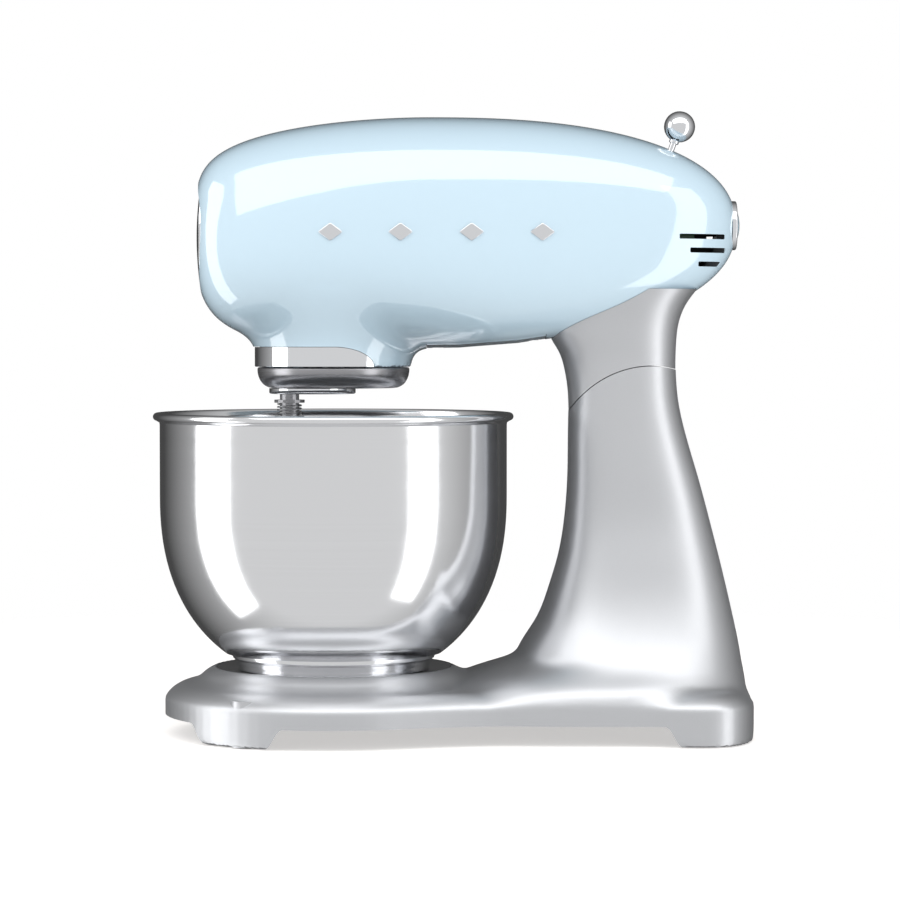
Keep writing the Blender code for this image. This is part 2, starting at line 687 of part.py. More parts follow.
def band_outline(shrink=0.0):
    """Side view of the polished band round the front of the hub."""
    end = arc(-70, HUB_BOTTOM_Z, 24 - shrink, 90, 0, 8)
    curved = [(x, HUB_BOTTOM_Z + (z - HUB_BOTTOM_Z) * (BAND_TOP_Z - shrink - HUB_BOTTOM_Z) / (24 - shrink))
              for x, z in end]
    return [(-140, 215), (-140, BAND_TOP_Z - shrink)] + curved + [(-46 - shrink, 215)]


def vent_slots():
    """The three air slots on each side at the back, longest at the top."""
    slots = []
    for side in (1, -1):
        for number, (front, rear, low) in enumerate(((137.4, 165.9, 302.0), (144.2, 166.7, 293.8),
                                                     (149.5, 164.5, 285.5)), 1):
            slots.append(box(f"vent_{number}_{'left' if side > 0 else 'right'}", None,
                             (front, min(side * 17, side * 70), low),
                             (rear, max(side * 17, side * 70), low + 3.0)))
    return slots


def head_housing():
    """The enamelled shell of the head, with the hub under its front."""
    shell = head_form("head_housing", "blue_enamel")
    hub = turned("hub_form", None, [(0, 262), (HUB_R, 262), (HUB_R, HUB_BOTTOM_Z), (0, HUB_BOTTOM_Z)],
                 at=(BOWL_X, 0, 0), steps=40)
    join(shell, hub)
    inside = head_form("head_hollow", None, grow=-HEAD_WALL, shorten_front=5.0, shorten_rear=4.0)
    hub_room = cylinder("hub_hollow", None, RING_GEAR_R + 0.4, (BOWL_X, 0, 215), 50, steps=40)
    band_room = turned("band_room", None, [(44.9, 240), (60, 240), (60, 215), (44.9, 215)],
                       at=(BOWL_X, 0, 0), steps=40, closed=True)
    trim(band_room, slab("band_room_side", None, [band_outline()], 130, turn=ALONG_Y))
    cap_seat = cylinder("cap_seat", None, CAP_R + GAP, (-170, 0, CAP_Z), 170 + CAP_BACK_X + GAP, ALONG_X, 32)
    cap_bore = cylinder("cap_bore", None, 8.3, (-170, 0, CAP_Z), 40, ALONG_X, 12)
    ring_seat = cylinder("ring_seat", None, 15.3, (171.2, 0, BUTTON_Z), 20, ALONG_X, 24)
    button_bore = cylinder("button_bore", None, BUTTON_R + 0.4, (140, 0, BUTTON_Z), 40, ALONG_X, 24)
    lever_slot = box("lever_slot", None, (108.5, -2.6, 345), (139.5, 2.6, 385))
    neck_opening = box("neck_opening", None, (86, -20, 235), (134, 20, 285))
    cover_opening = box("cover_opening", None, (-15, -24, 225), (58, 24, 262))
    cut(shell, inside, hub_room, band_room, cap_seat, cap_bore, ring_seat, button_bore, lever_slot,
        neck_opening, cover_opening)
    cut(shell, *vent_slots())


def head_bottom_cover():
    """The curved cover in the head's underside, with its two screws."""
    cover = head_form("head_bottom_cover", "blue_enamel")
    cut(cover, head_form("cover_inside", None, grow=-HEAD_WALL, shorten_front=5.0, shorten_rear=4.0))
    trim(cover, box("cover_outline", None, (-15 + GAP, -24 + GAP, 226), (58 - GAP, 24 - GAP, 260)))
    for name, x, low in (("cover_screw_front", -8.0, 236.3), ("cover_screw_rear", 51.0, 240.9)):
        cut(cover, cylinder(name + "_hole", None, 2.0, (x, 0, 225), 30, steps=10),
            cylinder(name + "_recess", None, 3.2 + GAP, (x, 0, 225), low + 1.3 + GAP - 225, steps=16))
        screw(name, (x, 0, low), 3.2, 1.3, 1.6, 17)


def front_cap():
    """The polished disc on the nose, with the peg that holds it."""
    turned("front_cap", "polished_steel", [
        (0, -139), (8, -139), (8, CAP_BACK_X), (CAP_R, CAP_BACK_X), (CAP_R, -151.6), (CAP_R - 0.8, -152.2),
        (24, -154.0), (12, -155.0), (0, -155.3)], at=(0, 0, CAP_Z), turn=ALONG_X, steps=32)


def hub_ring():
    """The polished band round the front of the hub."""
    ring = turned("hub_ring", "polished_steel", [(45.2, 245), (48.2, 245), (48.2, 224.7), (45.2, 224.7)],
                  at=(BOWL_X, 0, 0), steps=40, closed=True)
    trim(ring, slab("hub_ring_side", None, [band_outline(GAP)], 130, turn=ALONG_Y))


def button_ring():
    """The polished ring round the release button."""
    turned("button_ring", "polished_steel", [(BUTTON_R + 0.4, 174.6), (14.0, 174.6), (15.0, 173.6),
                                             (15.0, 171.5), (BUTTON_R + 0.4, 171.5)],
           at=(0, 0, BUTTON_Z), turn=ALONG_X, steps=24, closed=True)


def release_button():
    """The round button at the back, with the rod that pushes the latch."""
    button = turned("release_button", "blue_enamel", [
        (0, 176.6), (4.5, 176.3), (8.5, 175.3), (BUTTON_R, 173.6), (BUTTON_R, 162), (0, 162)],
        at=(0, 0, BUTTON_Z), turn=ALONG_X, steps=20)
    join(button, cylinder("button_rod", None, 3.0, (150, 8, BUTTON_Z), 15, ALONG_X, 12))
    hang_on_axis("release_button_axis", (176.6, 0, BUTTON_Z), [button])


def latch():
    """The hook that holds the head down, on its own pin in the neck."""
    px, pz = LATCH_PIVOT
    tx, tz = LATCH_TOP
    tooth_z = STUD_Z - STUD_R - 0.7
    outline = arc(tx, tz, 4.5, -30, 145, 7)
    outline += arc(px, pz, 6.5, 150, 185, 2)
    outline += [(95.3, 219.0), (95.3, tooth_z), (STUD_X + 0.9, tooth_z), (STUD_X + 1.6, 187.5),
                (98.0, 186.5), (101.3, 190.0), (102.0, 219.0)]
    outline += arc(px, pz, 6.5, -30, 0, 2)
    hook = slab("latch_hook", "steel", [outline, circle(px, pz, 2.2 + GAP, 12)], 4.0,
                at=(0, 11.5, 0), turn=ALONG_Y)
    hang_on_axis("latch_axis", (px, 0, pz), [hook])
    turned("latch_pin", "steel", [(0, 22), (2.2, 22), (2.2, 0), (0, 0)],
           at=(px, 28.5, pz), turn=ALONG_Y, steps=12)


def speed_lever():
    """The thin lever with its ball knob."""
    lean = math.atan2(KNOB[0] - LEVER_PIVOT[0], KNOB[1] - LEVER_PIVOT[1])
    length = math.dist(KNOB, LEVER_PIVOT)
    along_stem = (0, lean, 0)
    stem = cylinder("speed_lever_stem", "polished_steel", 1.9, (LEVER_PIVOT[0], 0, LEVER_PIVOT[1]),
                    length - 3.5, along_stem, 10)
    join(stem, cylinder("lever_hub", None, 5.0, (LEVER_PIVOT[0], 3, LEVER_PIVOT[1]), 12, ALONG_Y, 16))
    ball = [(KNOB_R * math.cos(math.radians(a)), KNOB_R * math.sin(math.radians(a)))
            for a in range(90, -91, -20)]
    ball[0] = (0, KNOB_R)
    ball[-1] = (0, -KNOB_R)
    knob = turned("speed_lever_knob", "polished_steel", ball, (KNOB[0], 0, KNOB[1]), along_stem, 18)
    cut(knob, cylinder("knob_bore", None, 1.9 + GAP, (LEVER_PIVOT[0], 0, LEVER_PIVOT[1]),
                       length - 3.2, along_stem, 10))
    hang_on_axis("speed_lever_axis", (LEVER_PIVOT[0], 0, LEVER_PIVOT[1]), [stem, knob])


# Motor ------------------------------------------------------------------------------------------

def ring_sector(inner, outer, half_angle, middle, count=6):
    """Outline of part of a ring about the local origin, angles in degrees."""
    return (arc(0, 0, outer, middle - half_angle, middle + half_angle, count)
            + arc(0, 0, inner, middle + half_angle, middle - half_angle, count))


def motor_frame():
    """The still pieces of the motor: stator, field coils, brackets, bearings, brushes and board."""
    at = (58, 0, MOTOR_Z)
    hole = []
    for quarter in range(4):
        wide = quarter % 2 == 0
        radius = 30.0 if wide else 21.6
        half = 36 if wide else 52
        middle = 90 * quarter
        hole += arc(0, 0, radius, middle - half, middle + half, 8)
    slab("motor_stator", "steel", [superellipse(0, 0, 35, 35, 3.2, 32), hole], 40, at, ALONG_X)
    for name, middle in (("field_coil_lower", 0), ("field_coil_upper", 180)):
        slab(name, "copper", [ring_sector(22.0, 29.5, 34, middle)], 54, at, ALONG_X)
    front = slab("motor_front_bracket", "plastic", [
        superellipse(13, 0, 47, 27, 3, 28), circle(0, 0, 8.3, 20), circle(MOTOR_Z - SHAFT_Z, 0, 5.3, 16)],
        4, (20.5, 0, MOTOR_Z), ALONG_X)
    box_top = box("bracket_trim", None, (10, -40, 258), (30, 40, 352))
    trim(front, box_top)
    slab("motor_rear_bracket", "plastic", [superellipse(0, 0, 34, 27, 3, 28), circle(0, 0, 8.3, 20)],
         4, (102, 0, MOTOR_Z), ALONG_X)
    for name, x in (("armature_bearing_front", 18.5), ("armature_bearing_rear", 100.0)):
        tube(name, "steel", 8.0, 3.7, (x, 0, MOTOR_Z), 4, ALONG_X, 20)
    for name, side in (("carbon_brush_left", 1), ("carbon_brush_right", -1)):
        ends = sorted((side * 11.5, side * 25.0))
        box(name, "plastic", (89, ends[0], MOTOR_Z - 3), (95, ends[1], MOTOR_Z + 3), 0.5)
    box("control_board", "circuit", (116, -16.0, 300), (148, -14.4, 340), 0.4)


def armature():
    """Everything that turns with the motor's shaft."""
    shaft = cylinder("armature_shaft", "steel", 3.5, (5, 0, MOTOR_Z), 103, ALONG_X, 16)
    join(shaft, slab("motor_pinion", None, [gear_outline(SPUR_PINION_TEETH, SPUR_MODULE)], 9,
                     (11.5, 0, MOTOR_Z), ALONG_X))
    bore = 3.5 + GAP
    core = tube("armature_core", "steel", 21.0, bore, (38, 0, MOTOR_Z), 40, ALONG_X, 28)
    commutator = tube("commutator", "copper", 11.0, bore, (85, 0, MOTOR_Z), 13, ALONG_X, 20)
    blades = []
    for blade in range(9):
        blades += arc(0, 0, 12, 40 * blade, 40 * blade + 24, 2)
        blades += arc(0, 0, 25, 40 * blade + 30, 40 * blade + 36, 1)
    fan = slab("cooling_fan", "plastic", [blades, circle(0, 0, bore, 14)], 5.4, (27.2, 0, MOTOR_Z), ALONG_X)
    hang_on_axis("motor_axis", (58, 0, MOTOR_Z), [shaft, core, commutator, fan])


# Gear train -------------------------------------------------------------------------------------

def gearbox_frame():
    """The bracket that holds the drive shaft's bush and the front of the layshaft."""
    frame = box("gearbox_frame", "steel", (-108, -27, 251), (57, 27, 256))
    wall = box("gearbox_wall", None, (-26, -20, 254), (-20, 20, 300))
    join(frame, wall)
    cut(frame, cylinder("bush_bore", None, 10.0 + GAP, (BOWL_X, 0, 240), 30, steps=20),
        cylinder("layshaft_bore", None, 5.3, (-40, 0, SHAFT_Z), 40, ALONG_X, 16),
        cylinder("frame_hole_front", None, 1.9, (-8, 0, 245), 20, steps=10),
        cylinder("frame_hole_rear", None, 1.9, (51, 0, 245), 20, steps=10))
    tube("drive_shaft_bush", "brass", 10.0, 7.3, (BOWL_X, 0, 246), 15, steps=20)


def layshaft():
    """The shaft below the motor: spur gear at the back, bevel pinion at the front."""
    shaft = cylinder("layshaft", "steel", 5.0, (BOWL_X + CROWN_R * BEVEL_INNER + 1, 0, SHAFT_Z),
                     22 - BOWL_X - CROWN_R * BEVEL_INNER - 1, ALONG_X, 16)
    outline = gear_outline(BEVEL_PINION_TEETH, BEVEL_MODULE)
    rings = []
    for scale in (BEVEL_INNER, 1.0):
        rings.append([(BOWL_X + CROWN_R * scale, y * scale, SHAFT_Z - x * scale) for x, y in outline])
    join(shaft, loft("bevel_pinion_form", None, rings))
    gear = slab("reduction_gear", "steel", [
        gear_outline(SPUR_GEAR_TEETH, SPUR_MODULE, phase=0.5, levels=2), circle(0, 0, 5.0 + GAP, 16)],
        7, (11.5, 0, SHAFT_Z), ALONG_X)
    hang_on_axis("layshaft_axis", (0, 0, SHAFT_Z), [shaft, gear])


def crown_tooth(number):
    """One tooth of the crown gear, pointing at the tip of the bevel cones."""
    apex = Vector((BOWL_X, 0, SHAFT_Z))
    cone = math.atan2(BEVEL_PINION_TEETH, CROWN_TEETH)
    outward = Vector((math.cos(cone), 0, -math.sin(cone))) * CROWN_R / math.cos(cone)
    height = Vector((math.sin(cone), 0, math.cos(cone)))
    pitch_half = math.pi * BEVEL_MODULE / 4 - BACKLASH / 2
    spin = Matrix.Rotation(2 * math.pi * (number + 0.5) / CROWN_TEETH, 4, "Z")
    rings = []
    for scale in (BEVEL_INNER, 1.0):
        ring = []
        for rise in (-1.6 * BEVEL_MODULE, ADDENDUM * BEVEL_MODULE):
            half = pitch_half - rise * math.tan(PRESSURE_ANGLE)
            for side in (-1, 1) if rise < 0 else (1, -1):
                corner = (outward + height * rise + Vector((0, side * half, 0))) * scale
                ring.append(tuple(apex + spin @ corner))
        rings.append(ring)
    return loft(f"crown_tooth_{number + 1}", None, rings)


def merged(name, pieces):
    """Join cutters that don't touch into one cutter."""
    work = bmesh.new()
    for piece in pieces:
        work.from_mesh(piece.data)
        bpy.data.objects.remove(piece)
    mesh = bpy.data.meshes.new(name)
    work.to_mesh(mesh)
    work.free()
    return add_object(name, mesh, None)


def drive_shaft():
    """The upright shaft with the crown gear on it."""
    shaft = turned("drive_shaft", "steel", [(0, 285), (6, 285), (7, 284), (7, 218.3), (0, 218.3)],
                   at=(BOWL_X, 0, 0), steps=16)
    slope = (1 + DEDENDUM * BEVEL_MODULE / (CROWN_R / 4)) / 4
    inner = CROWN_R * BEVEL_INNER - 1.5
    outer = CROWN_R + 0.6
    crown = turned("crown_gear", "brass", [
        (7.3, 282), (12, 282), (12, 273), (27, 273), (inner, SHAFT_Z - slope * inner),
        (outer, SHAFT_Z - slope * outer), (outer, 269), (12, 269), (12, 263), (7.3, 263)],
        at=(BOWL_X, 0, 0), steps=24, closed=True)
    join(crown, merged("crown_teeth", [crown_tooth(number) for number in range(CROWN_TEETH)]))
    return shaft, crown


def ring_gear():
    """The still ring gear in the hub, which makes the beater shaft turn."""
    slab("ring_gear", "steel", [circle(0, 0, RING_GEAR_R, 48), ring_gear_outline(RING_TEETH, PLANET_MODULE)],
         7.5, (BOWL_X, 0, 231))


def planetary():
    """The turning hub under the head, its cap and the shaft that drives it."""
    hub = turned("planetary_hub", "dark_satin", [
        (0, 222.5), (14, 222.5), (14, 217), (43, 217), (43.6, 224.3), (46.0, 224.3), (46.6, 223.4), (46.2, 219.8),
        (44.6, 215.8), (41.6, 213.0), (37.6, 211.7), (0, 211.7)], at=(BOWL_X, 0, 0), steps=36)
    beater_x = BOWL_X - PLANET_OFFSET
    join(hub, cylinder("beater_boss", None, 11.0, (beater_x, 0, 213), 9.5, steps=16))
    cut(hub, cylinder("drive_bore", None, 7.3, (BOWL_X, 0, 218), 20, steps=16),
        cylinder("beater_bore", None, 6.2, (beater_x, 0, 200), 40, steps=16))
    cap = turned("planetary_cap", "polished_steel", [
        (0, 211.4), (26.5, 211.4), (26.5, 208.8), (25.8, 208.1), (0, 208.1)], at=(-85.0, 0, 0), steps=28)
    cut(cap, cylinder("cap_beater_bore", None, 6.2, (beater_x, 0, 200), 20, steps=16))
    shaft, crown = drive_shaft()
    hang_on_axis("planetary_axis", (BOWL_X, 0, HUB_BOTTOM_Z), [hub, cap, shaft, crown])


def spring_coil():
    """The coil spring round the beater shaft, ends closed flat enough to stand on."""
    turns = 3.5
    steps = 32
    low = 195.2
    high = 201.8
    curve = bpy.data.curves.new("beater_spring_path", "CURVE")
    curve.dimensions = "3D"
    curve.bevel_depth = 0.00055
    curve.bevel_resolution = 1
    curve.use_fill_caps = True
    spline = curve.splines.new("POLY")
    spline.points.add(steps)
    for i, point in enumerate(spline.points):
        angle = 2 * math.pi * turns * i / steps
        height = low + (high - low) * i / steps
        place = to_metres(SPRING_R * math.cos(angle), SPRING_R * math.sin(angle), height)
        point.co = (*place, 1.0)
    guide = bpy.data.objects.new("beater_spring_path", curve)
    bpy.context.scene.collection.objects.link(guide)
    graph = bpy.context.evaluated_depsgraph_get()
    mesh = bpy.data.meshes.new_from_object(guide.evaluated_get(graph))
    mesh.name = "beater_spring"
    bpy.data.objects.remove(guide)
    merge_doubles(mesh)
    return add_object("beater_spring", mesh, "steel", (BOWL_X - PLANET_OFFSET, 0, 0))


def beater_drive():
    """The beater shaft with its pinion, collar and cross pin, the spring and the washer under it."""
    x = BOWL_X - PLANET_OFFSET
    shaft = turned("beater_shaft", "polished_steel", [
        (0, 236), (5.9, 236), (5.9, 204.4), (9.3, 204.4), (9.3, 202.6), (5.9, 202.6), (5.9, 181),
        (4.9, 180), (0, 180)], at=(x, 0, 0), steps=16)
    join(shaft, slab("planet_pinion", None, [gear_outline(PLANET_TEETH, PLANET_MODULE)], 7,
                     (x, 0, 231)),
         cylinder("cross_pin", None, 1.8, (x, 9.3, 186.5), 18.6, ALONG_Y, 12))
    washer = tube("spring_washer", "polished_steel", 9.3, 6.3, (x, 0, 192.6), 1.8, steps=20)
    hang_on_axis("beater_axis", (x, 0, 204), [shaft, spring_coil(), washer])


# Build ------------------------------------------------------------------------------------------

def build():
    """Model the whole mixer."""
    stand_casting()
    bottom_plate()
    foot_pads()
    bowl_seat()
    cable_gland()
    hinge_fork()
    bowl()
    neck_casting()
    head_housing()
    head_bottom_cover()
    front_cap()
    hub_ring()
    button_ring()
    release_button()
    latch()
    speed_lever()
    motor_frame()
    armature()
    gearbox_frame()
    layshaft()
    ring_gear()
    planetary()
    beater_drive()


for leftover in list(bpy.data.objects):
    bpy.data.objects.remove(leftover)
PARTS = make_collection("stand_mixer")
CUTTERS = make_collection("cutters")
MATERIALS = {finish: make_material(finish) for finish in FINISHES}
build()
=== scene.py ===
"""A stand mixer with a tilting head: the fine surfaces and finishes over its fixed mechanical frame.

Every size in the classes below is in millimetres, in the frame's own axes: the nose points along -X,
the bowl's opening faces +Z and the user's left is +Y. `Maker.keep` turns a finished piece into metres.
"""

import logging
import math
from dataclasses import dataclass
from enum import Enum
from typing import Callable, Iterable, Sequence

import bmesh
import bpy
import numpy as np
from mathutils import Matrix, Vector


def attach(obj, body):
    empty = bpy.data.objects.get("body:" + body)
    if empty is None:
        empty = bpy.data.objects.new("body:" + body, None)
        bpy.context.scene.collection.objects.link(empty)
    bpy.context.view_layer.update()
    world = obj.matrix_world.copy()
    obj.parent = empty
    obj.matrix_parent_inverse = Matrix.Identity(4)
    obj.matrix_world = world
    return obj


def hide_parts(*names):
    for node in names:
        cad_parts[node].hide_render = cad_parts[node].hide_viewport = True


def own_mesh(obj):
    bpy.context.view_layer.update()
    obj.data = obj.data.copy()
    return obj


LOG = logging.getLogger("mixer")
MM = 0.001
Point2 = tuple[float, float]
Point3 = tuple[float, float, float]
Field = Callable[[np.ndarray], np.ndarray]

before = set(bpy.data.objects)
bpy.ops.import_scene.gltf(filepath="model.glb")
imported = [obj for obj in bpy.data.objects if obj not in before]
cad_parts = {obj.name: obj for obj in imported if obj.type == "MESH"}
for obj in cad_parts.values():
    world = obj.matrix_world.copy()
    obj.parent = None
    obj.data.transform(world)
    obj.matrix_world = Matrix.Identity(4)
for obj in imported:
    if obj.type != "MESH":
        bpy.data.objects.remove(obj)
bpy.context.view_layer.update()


# Finishes ---------------------------------------------------------------------------------------

class Grain(Enum):
    """The small texture that a finish shows up close."""

    FLAKE = "metal flakes under lacquer"
    PEEL = "the slow ripple of sprayed enamel"
    TURNED = "fine rings round an upright axis"
    DRAWN = "fine lines along one axis"
    MOULDED = "the even grain of a mould"


class Carve(Enum):
    """What a carving step does with the other body."""

    CUT = "DIFFERENCE"
    ADD = "UNION"
    TRIM = "INTERSECT"


@dataclass(frozen=True)
class Finish:
    """One finish of the machine, as a node material on Object coordinates."""

    name: str
    slot: str
    colour: Point3
    metallic: float
    roughness: float
    grain: Grain
    spread: float = 0.04          # how far the roughness wanders either side
    tint: float = 0.04            # how far the colour wanders
    depth: float = 0.02           # height of the grain in millimetres
    pitch: float = 1.0            # size of the grain in millimetres
    coat: float = 0.0
    coat_roughness: float = 0.03
    coat_ior: float = 1.5
    centre: Point3 = (0.0, 0.0, 0.0)
    along: Point3 = (1.0, 1.0, 1.0)

    def material(self) -> bpy.types.Material:
        """Build the material, or return it where it is already made.

        Returns:
            The material.
        """
        done = bpy.data.materials.get(self.name)
        if done:
            return done
        material = bpy.data.materials.new(self.name)
        material.use_nodes = True
        nodes = material.node_tree.nodes
        links = material.node_tree.links
        shader = nodes["Principled BSDF"]
        shader.inputs["Metallic"].default_value = self.metallic
        shader.inputs["Coat Weight"].default_value = self.coat
        shader.inputs["Coat Roughness"].default_value = self.coat_roughness
        shader.inputs["Coat IOR"].default_value = self.coat_ior
        vector = self._coordinates(nodes, links)

        fine = self._noise(nodes, links, vector, 1.0 / (self.pitch * MM), 2.0)
        broad = self._noise(nodes, links, vector, 0.07 / (self.pitch * MM), 3.0)

        colour = nodes.new("ShaderNodeMix")
        colour.data_type = "RGBA"
        links.new(fine, colour.inputs["Factor"])
        for socket, share in (("A", 1.0 - self.tint), ("B", 1.0 + self.tint)):
            colour.inputs[socket].default_value = (*(min(1.0, c * share) for c in self.colour), 1.0)
        links.new(colour.outputs["Result"], shader.inputs["Base Color"])

        rough = nodes.new("ShaderNodeMapRange")
        rough.inputs["To Min"].default_value = max(0.0, self.roughness - self.spread)
        rough.inputs["To Max"].default_value = self.roughness + self.spread
        links.new(broad, rough.inputs["Value"])
        links.new(rough.outputs["Result"], shader.inputs["Roughness"])

        bump = nodes.new("ShaderNodeBump")
        bump.inputs["Strength"].default_value = 1.0
        bump.inputs["Distance"].default_value = self.depth * MM
        links.new(fine, bump.inputs["Height"])
        links.new(bump.outputs["Normal"], shader.inputs["Normal"])
        return material

    def _coordinates(self, nodes: bpy.types.Nodes, links: bpy.types.NodeLinks) -> bpy.types.NodeSocket:
        """Lay out the coordinates that the grain is read at.

        Args:
            nodes: The material's nodes.
            links: The material's links.

        Returns:
            The socket of the coordinates.
        """
        place = nodes.new("ShaderNodeTexCoord")
        centred = nodes.new("ShaderNodeMapping")
        centred.inputs["Location"].default_value = tuple(-c * MM for c in self.centre)
        links.new(place.outputs["Object"], centred.inputs["Vector"])
        if self.grain is not Grain.TURNED:
            centred.inputs["Scale"].default_value = self.along
            return centred.outputs["Vector"]
        apart = nodes.new("ShaderNodeSeparateXYZ")
        links.new(centred.outputs["Vector"], apart.inputs["Vector"])
        flat = nodes.new("ShaderNodeCombineXYZ")
        links.new(apart.outputs["X"], flat.inputs["X"])
        links.new(apart.outputs["Y"], flat.inputs["Y"])
        radius = nodes.new("ShaderNodeVectorMath")
        radius.operation = "LENGTH"
        links.new(flat.outputs["Vector"], radius.inputs[0])
        ring = nodes.new("ShaderNodeCombineXYZ")
        links.new(radius.outputs["Value"], ring.inputs["X"])
        links.new(apart.outputs["Z"], ring.inputs["Z"])
        return ring.outputs["Vector"]

    @staticmethod
    def _noise(nodes: bpy.types.Nodes, links: bpy.types.NodeLinks, vector: bpy.types.NodeSocket,
               scale: float, detail: float) -> bpy.types.NodeSocket:
        """Add one noise pattern.

        Args:
            nodes: The material's nodes.
            links: The material's links.
            vector: The socket of the coordinates.
            scale: Spots per metre.
            detail: Octaves of finer noise.

        Returns:
            The socket of the noise's value.
        """
        noise = nodes.new("ShaderNodeTexNoise")
        noise.inputs["Scale"].default_value = scale
        noise.inputs["Detail"].default_value = detail
        links.new(vector, noise.inputs["Vector"])
        return noise.outputs["Fac"]


SILVER = Finish("satin_silver_paint", "silver_paint", (0.585, 0.595, 0.615), 0.90, 0.42, Grain.FLAKE,
                spread=0.03, tint=0.05, depth=0.004, pitch=0.35, coat=0.25, coat_roughness=0.25)
ENAMEL = Finish("pale_blue_enamel", "blue_enamel", (0.51, 0.666, 0.77), 0.0, 0.16, Grain.PEEL,
                spread=0.02, tint=0.008, depth=0.004, pitch=6.0, coat=1.0, coat_roughness=0.03, coat_ior=1.9)
MIRROR = Finish("mirror_steel", "polished_steel", (0.80, 0.81, 0.83), 1.0, 0.07, Grain.DRAWN,
                spread=0.02, tint=0.02, depth=0.0006, pitch=0.5, along=(1.0, 1.0, 8.0))
TURNED_STEEL = Finish("turned_bowl_steel", "bowl_steel", (0.80, 0.805, 0.82), 1.0, 0.13, Grain.TURNED,
                      spread=0.04, tint=0.03, depth=0.0012, pitch=0.8, centre=(-72.1, 0.0, 0.0))
SEAT_STEEL = Finish("turned_seat_steel", "polished_steel", (0.74, 0.745, 0.76), 1.0, 0.12, Grain.TURNED,
                    spread=0.03, tint=0.03, depth=0.0012, pitch=0.6, centre=(-72.1, 0.0, 0.0))
GRAPHITE = Finish("graphite_satin", "dark_satin", (0.36, 0.36, 0.375), 0.90, 0.27, Grain.TURNED,
                  spread=0.05, tint=0.08, depth=0.003, pitch=0.5, centre=(-72.1, 0.0, 0.0))
STEEL = Finish("machined_steel", "steel", (0.52, 0.52, 0.53), 1.0, 0.30, Grain.DRAWN,
               spread=0.08, tint=0.08, depth=0.004, pitch=0.3, along=(6.0, 1.0, 1.0))
CORE_STEEL = Finish("stacked_sheet_steel", "steel", (0.36, 0.36, 0.38), 0.9, 0.42, Grain.DRAWN,
                    spread=0.06, tint=0.18, depth=0.05, pitch=0.9, along=(1.0, 0.02, 0.02))
BRASS = Finish("machined_brass", "brass", (0.72, 0.52, 0.22), 1.0, 0.26, Grain.DRAWN,
               spread=0.08, tint=0.08, depth=0.004, pitch=0.4, along=(1.0, 1.0, 5.0))
COPPER = Finish("varnished_copper_wire", "copper", (0.70, 0.30, 0.15), 1.0, 0.28, Grain.DRAWN,
                spread=0.05, tint=0.25, depth=0.12, pitch=0.7, coat=0.5, along=(0.03, 1.0, 1.0))
RUBBER = Finish("matt_rubber", "rubber", (0.035, 0.035, 0.037), 0.0, 0.78, Grain.MOULDED,
                spread=0.08, tint=0.15, depth=0.03, pitch=0.6)
PLASTIC = Finish("moulded_black_plastic", "plastic", (0.045, 0.045, 0.05), 0.0, 0.46, Grain.MOULDED,
                 spread=0.06, tint=0.10, depth=0.02, pitch=0.5)
# Near-black lining for the head shell's inner faces: painted shade, so the inside seen through the vents and
# openings is dark.
INSIDE_SHADE_LINING = Finish("painted_shade_lining", "blue_enamel", (0.035, 0.037, 0.04), 0.5, 0.55, Grain.MOULDED,
                    spread=0.08, tint=0.2, depth=0.05, pitch=0.8)
BOARD = Finish("green_circuit_board", "circuit", (0.03, 0.16, 0.075), 0.0, 0.34, Grain.MOULDED,
               spread=0.08, tint=0.35, depth=0.05, pitch=1.8, coat=0.4)


# Modelling tools --------------------------------------------------------------------------------

def smooth_step(value: np.ndarray) -> np.ndarray:
    """Rise smoothly from 0 to 1 as a value goes from -0.5 to 0.5.

    Args:
        value: The values.

    Returns:
        The steps.
    """
    t = np.clip(value + 0.5, 0.0, 1.0)
    return t * t * (3.0 - 2.0 * t)


def soft_union(first: np.ndarray, second: np.ndarray, reach: float) -> np.ndarray:
    """Join two distance fields with a fillet.

    Args:
        first: Distances to one form.
        second: Distances to the other form.
        reach: How far apart the two surfaces begin to blend.

    Returns:
        Distances to the joined form.
    """
    near = np.maximum(reach - np.abs(first - second), 0.0) / reach
    return np.minimum(first, second) - near * near * reach / 4.0


def slope(field: Field, points: np.ndarray, step: float = 0.05) -> np.ndarray:
    """Measure a field's slope at some points.

    Args:
        field: The field.
        points: The points, one row each.
        step: Half the distance that the slope is read over.

    Returns:
        The slopes, one row each.
    """
    rows = []
    for axis in np.eye(3):
        rows.append((field(points + axis * step) - field(points - axis * step)) / (2.0 * step))
    return np.stack(rows, axis=1)


def distance(field: Field, points: np.ndarray) -> np.ndarray:
    """Turn a field of any scale into distances that are true near its surface.

    Args:
        field: The field.
        points: The points, one row each.

    Returns:
        The distances.
    """
    steepness = np.linalg.norm(slope(field, points), axis=1)
    return field(points) / np.maximum(steepness, 1e-6)


def curve_through(heights: Sequence[float], values: Sequence[float]) -> Callable[[np.ndarray], np.ndarray]:
    """Lay a natural cubic curve through some stations.

    Args:
        heights: The stations, rising.
        values: The value at each station.

    Returns:
        A function that reads the curve, held level beyond both ends.
    """
    x = np.asarray(heights, float)
    y = np.asarray(values, float)
    gap = np.diff(x)
    rise = np.diff(y) / gap
    system = np.eye(len(x))
    right = np.zeros(len(x))
    for i in range(1, len(x) - 1):
        system[i, i - 1:i + 2] = (gap[i - 1], 2.0 * (gap[i - 1] + gap[i]), gap[i])
        right[i] = 6.0 * (rise[i] - rise[i - 1])
    bend = np.linalg.solve(system, right)

    def read(at: np.ndarray) -> np.ndarray:
        """Read the curve at some heights."""
        at = np.clip(at, x[0], x[-1])
        i = np.clip(np.searchsorted(x, at, side="right") - 1, 0, len(gap) - 1)
        low = x[i + 1] - at
        high = at - x[i]
        return ((bend[i] * low ** 3 + bend[i + 1] * high ** 3) / (6.0 * gap[i])
                + (y[i] / gap[i] - bend[i] * gap[i] / 6.0) * low
                + (y[i + 1] / gap[i] - bend[i + 1] * gap[i] / 6.0) * high)

    return read


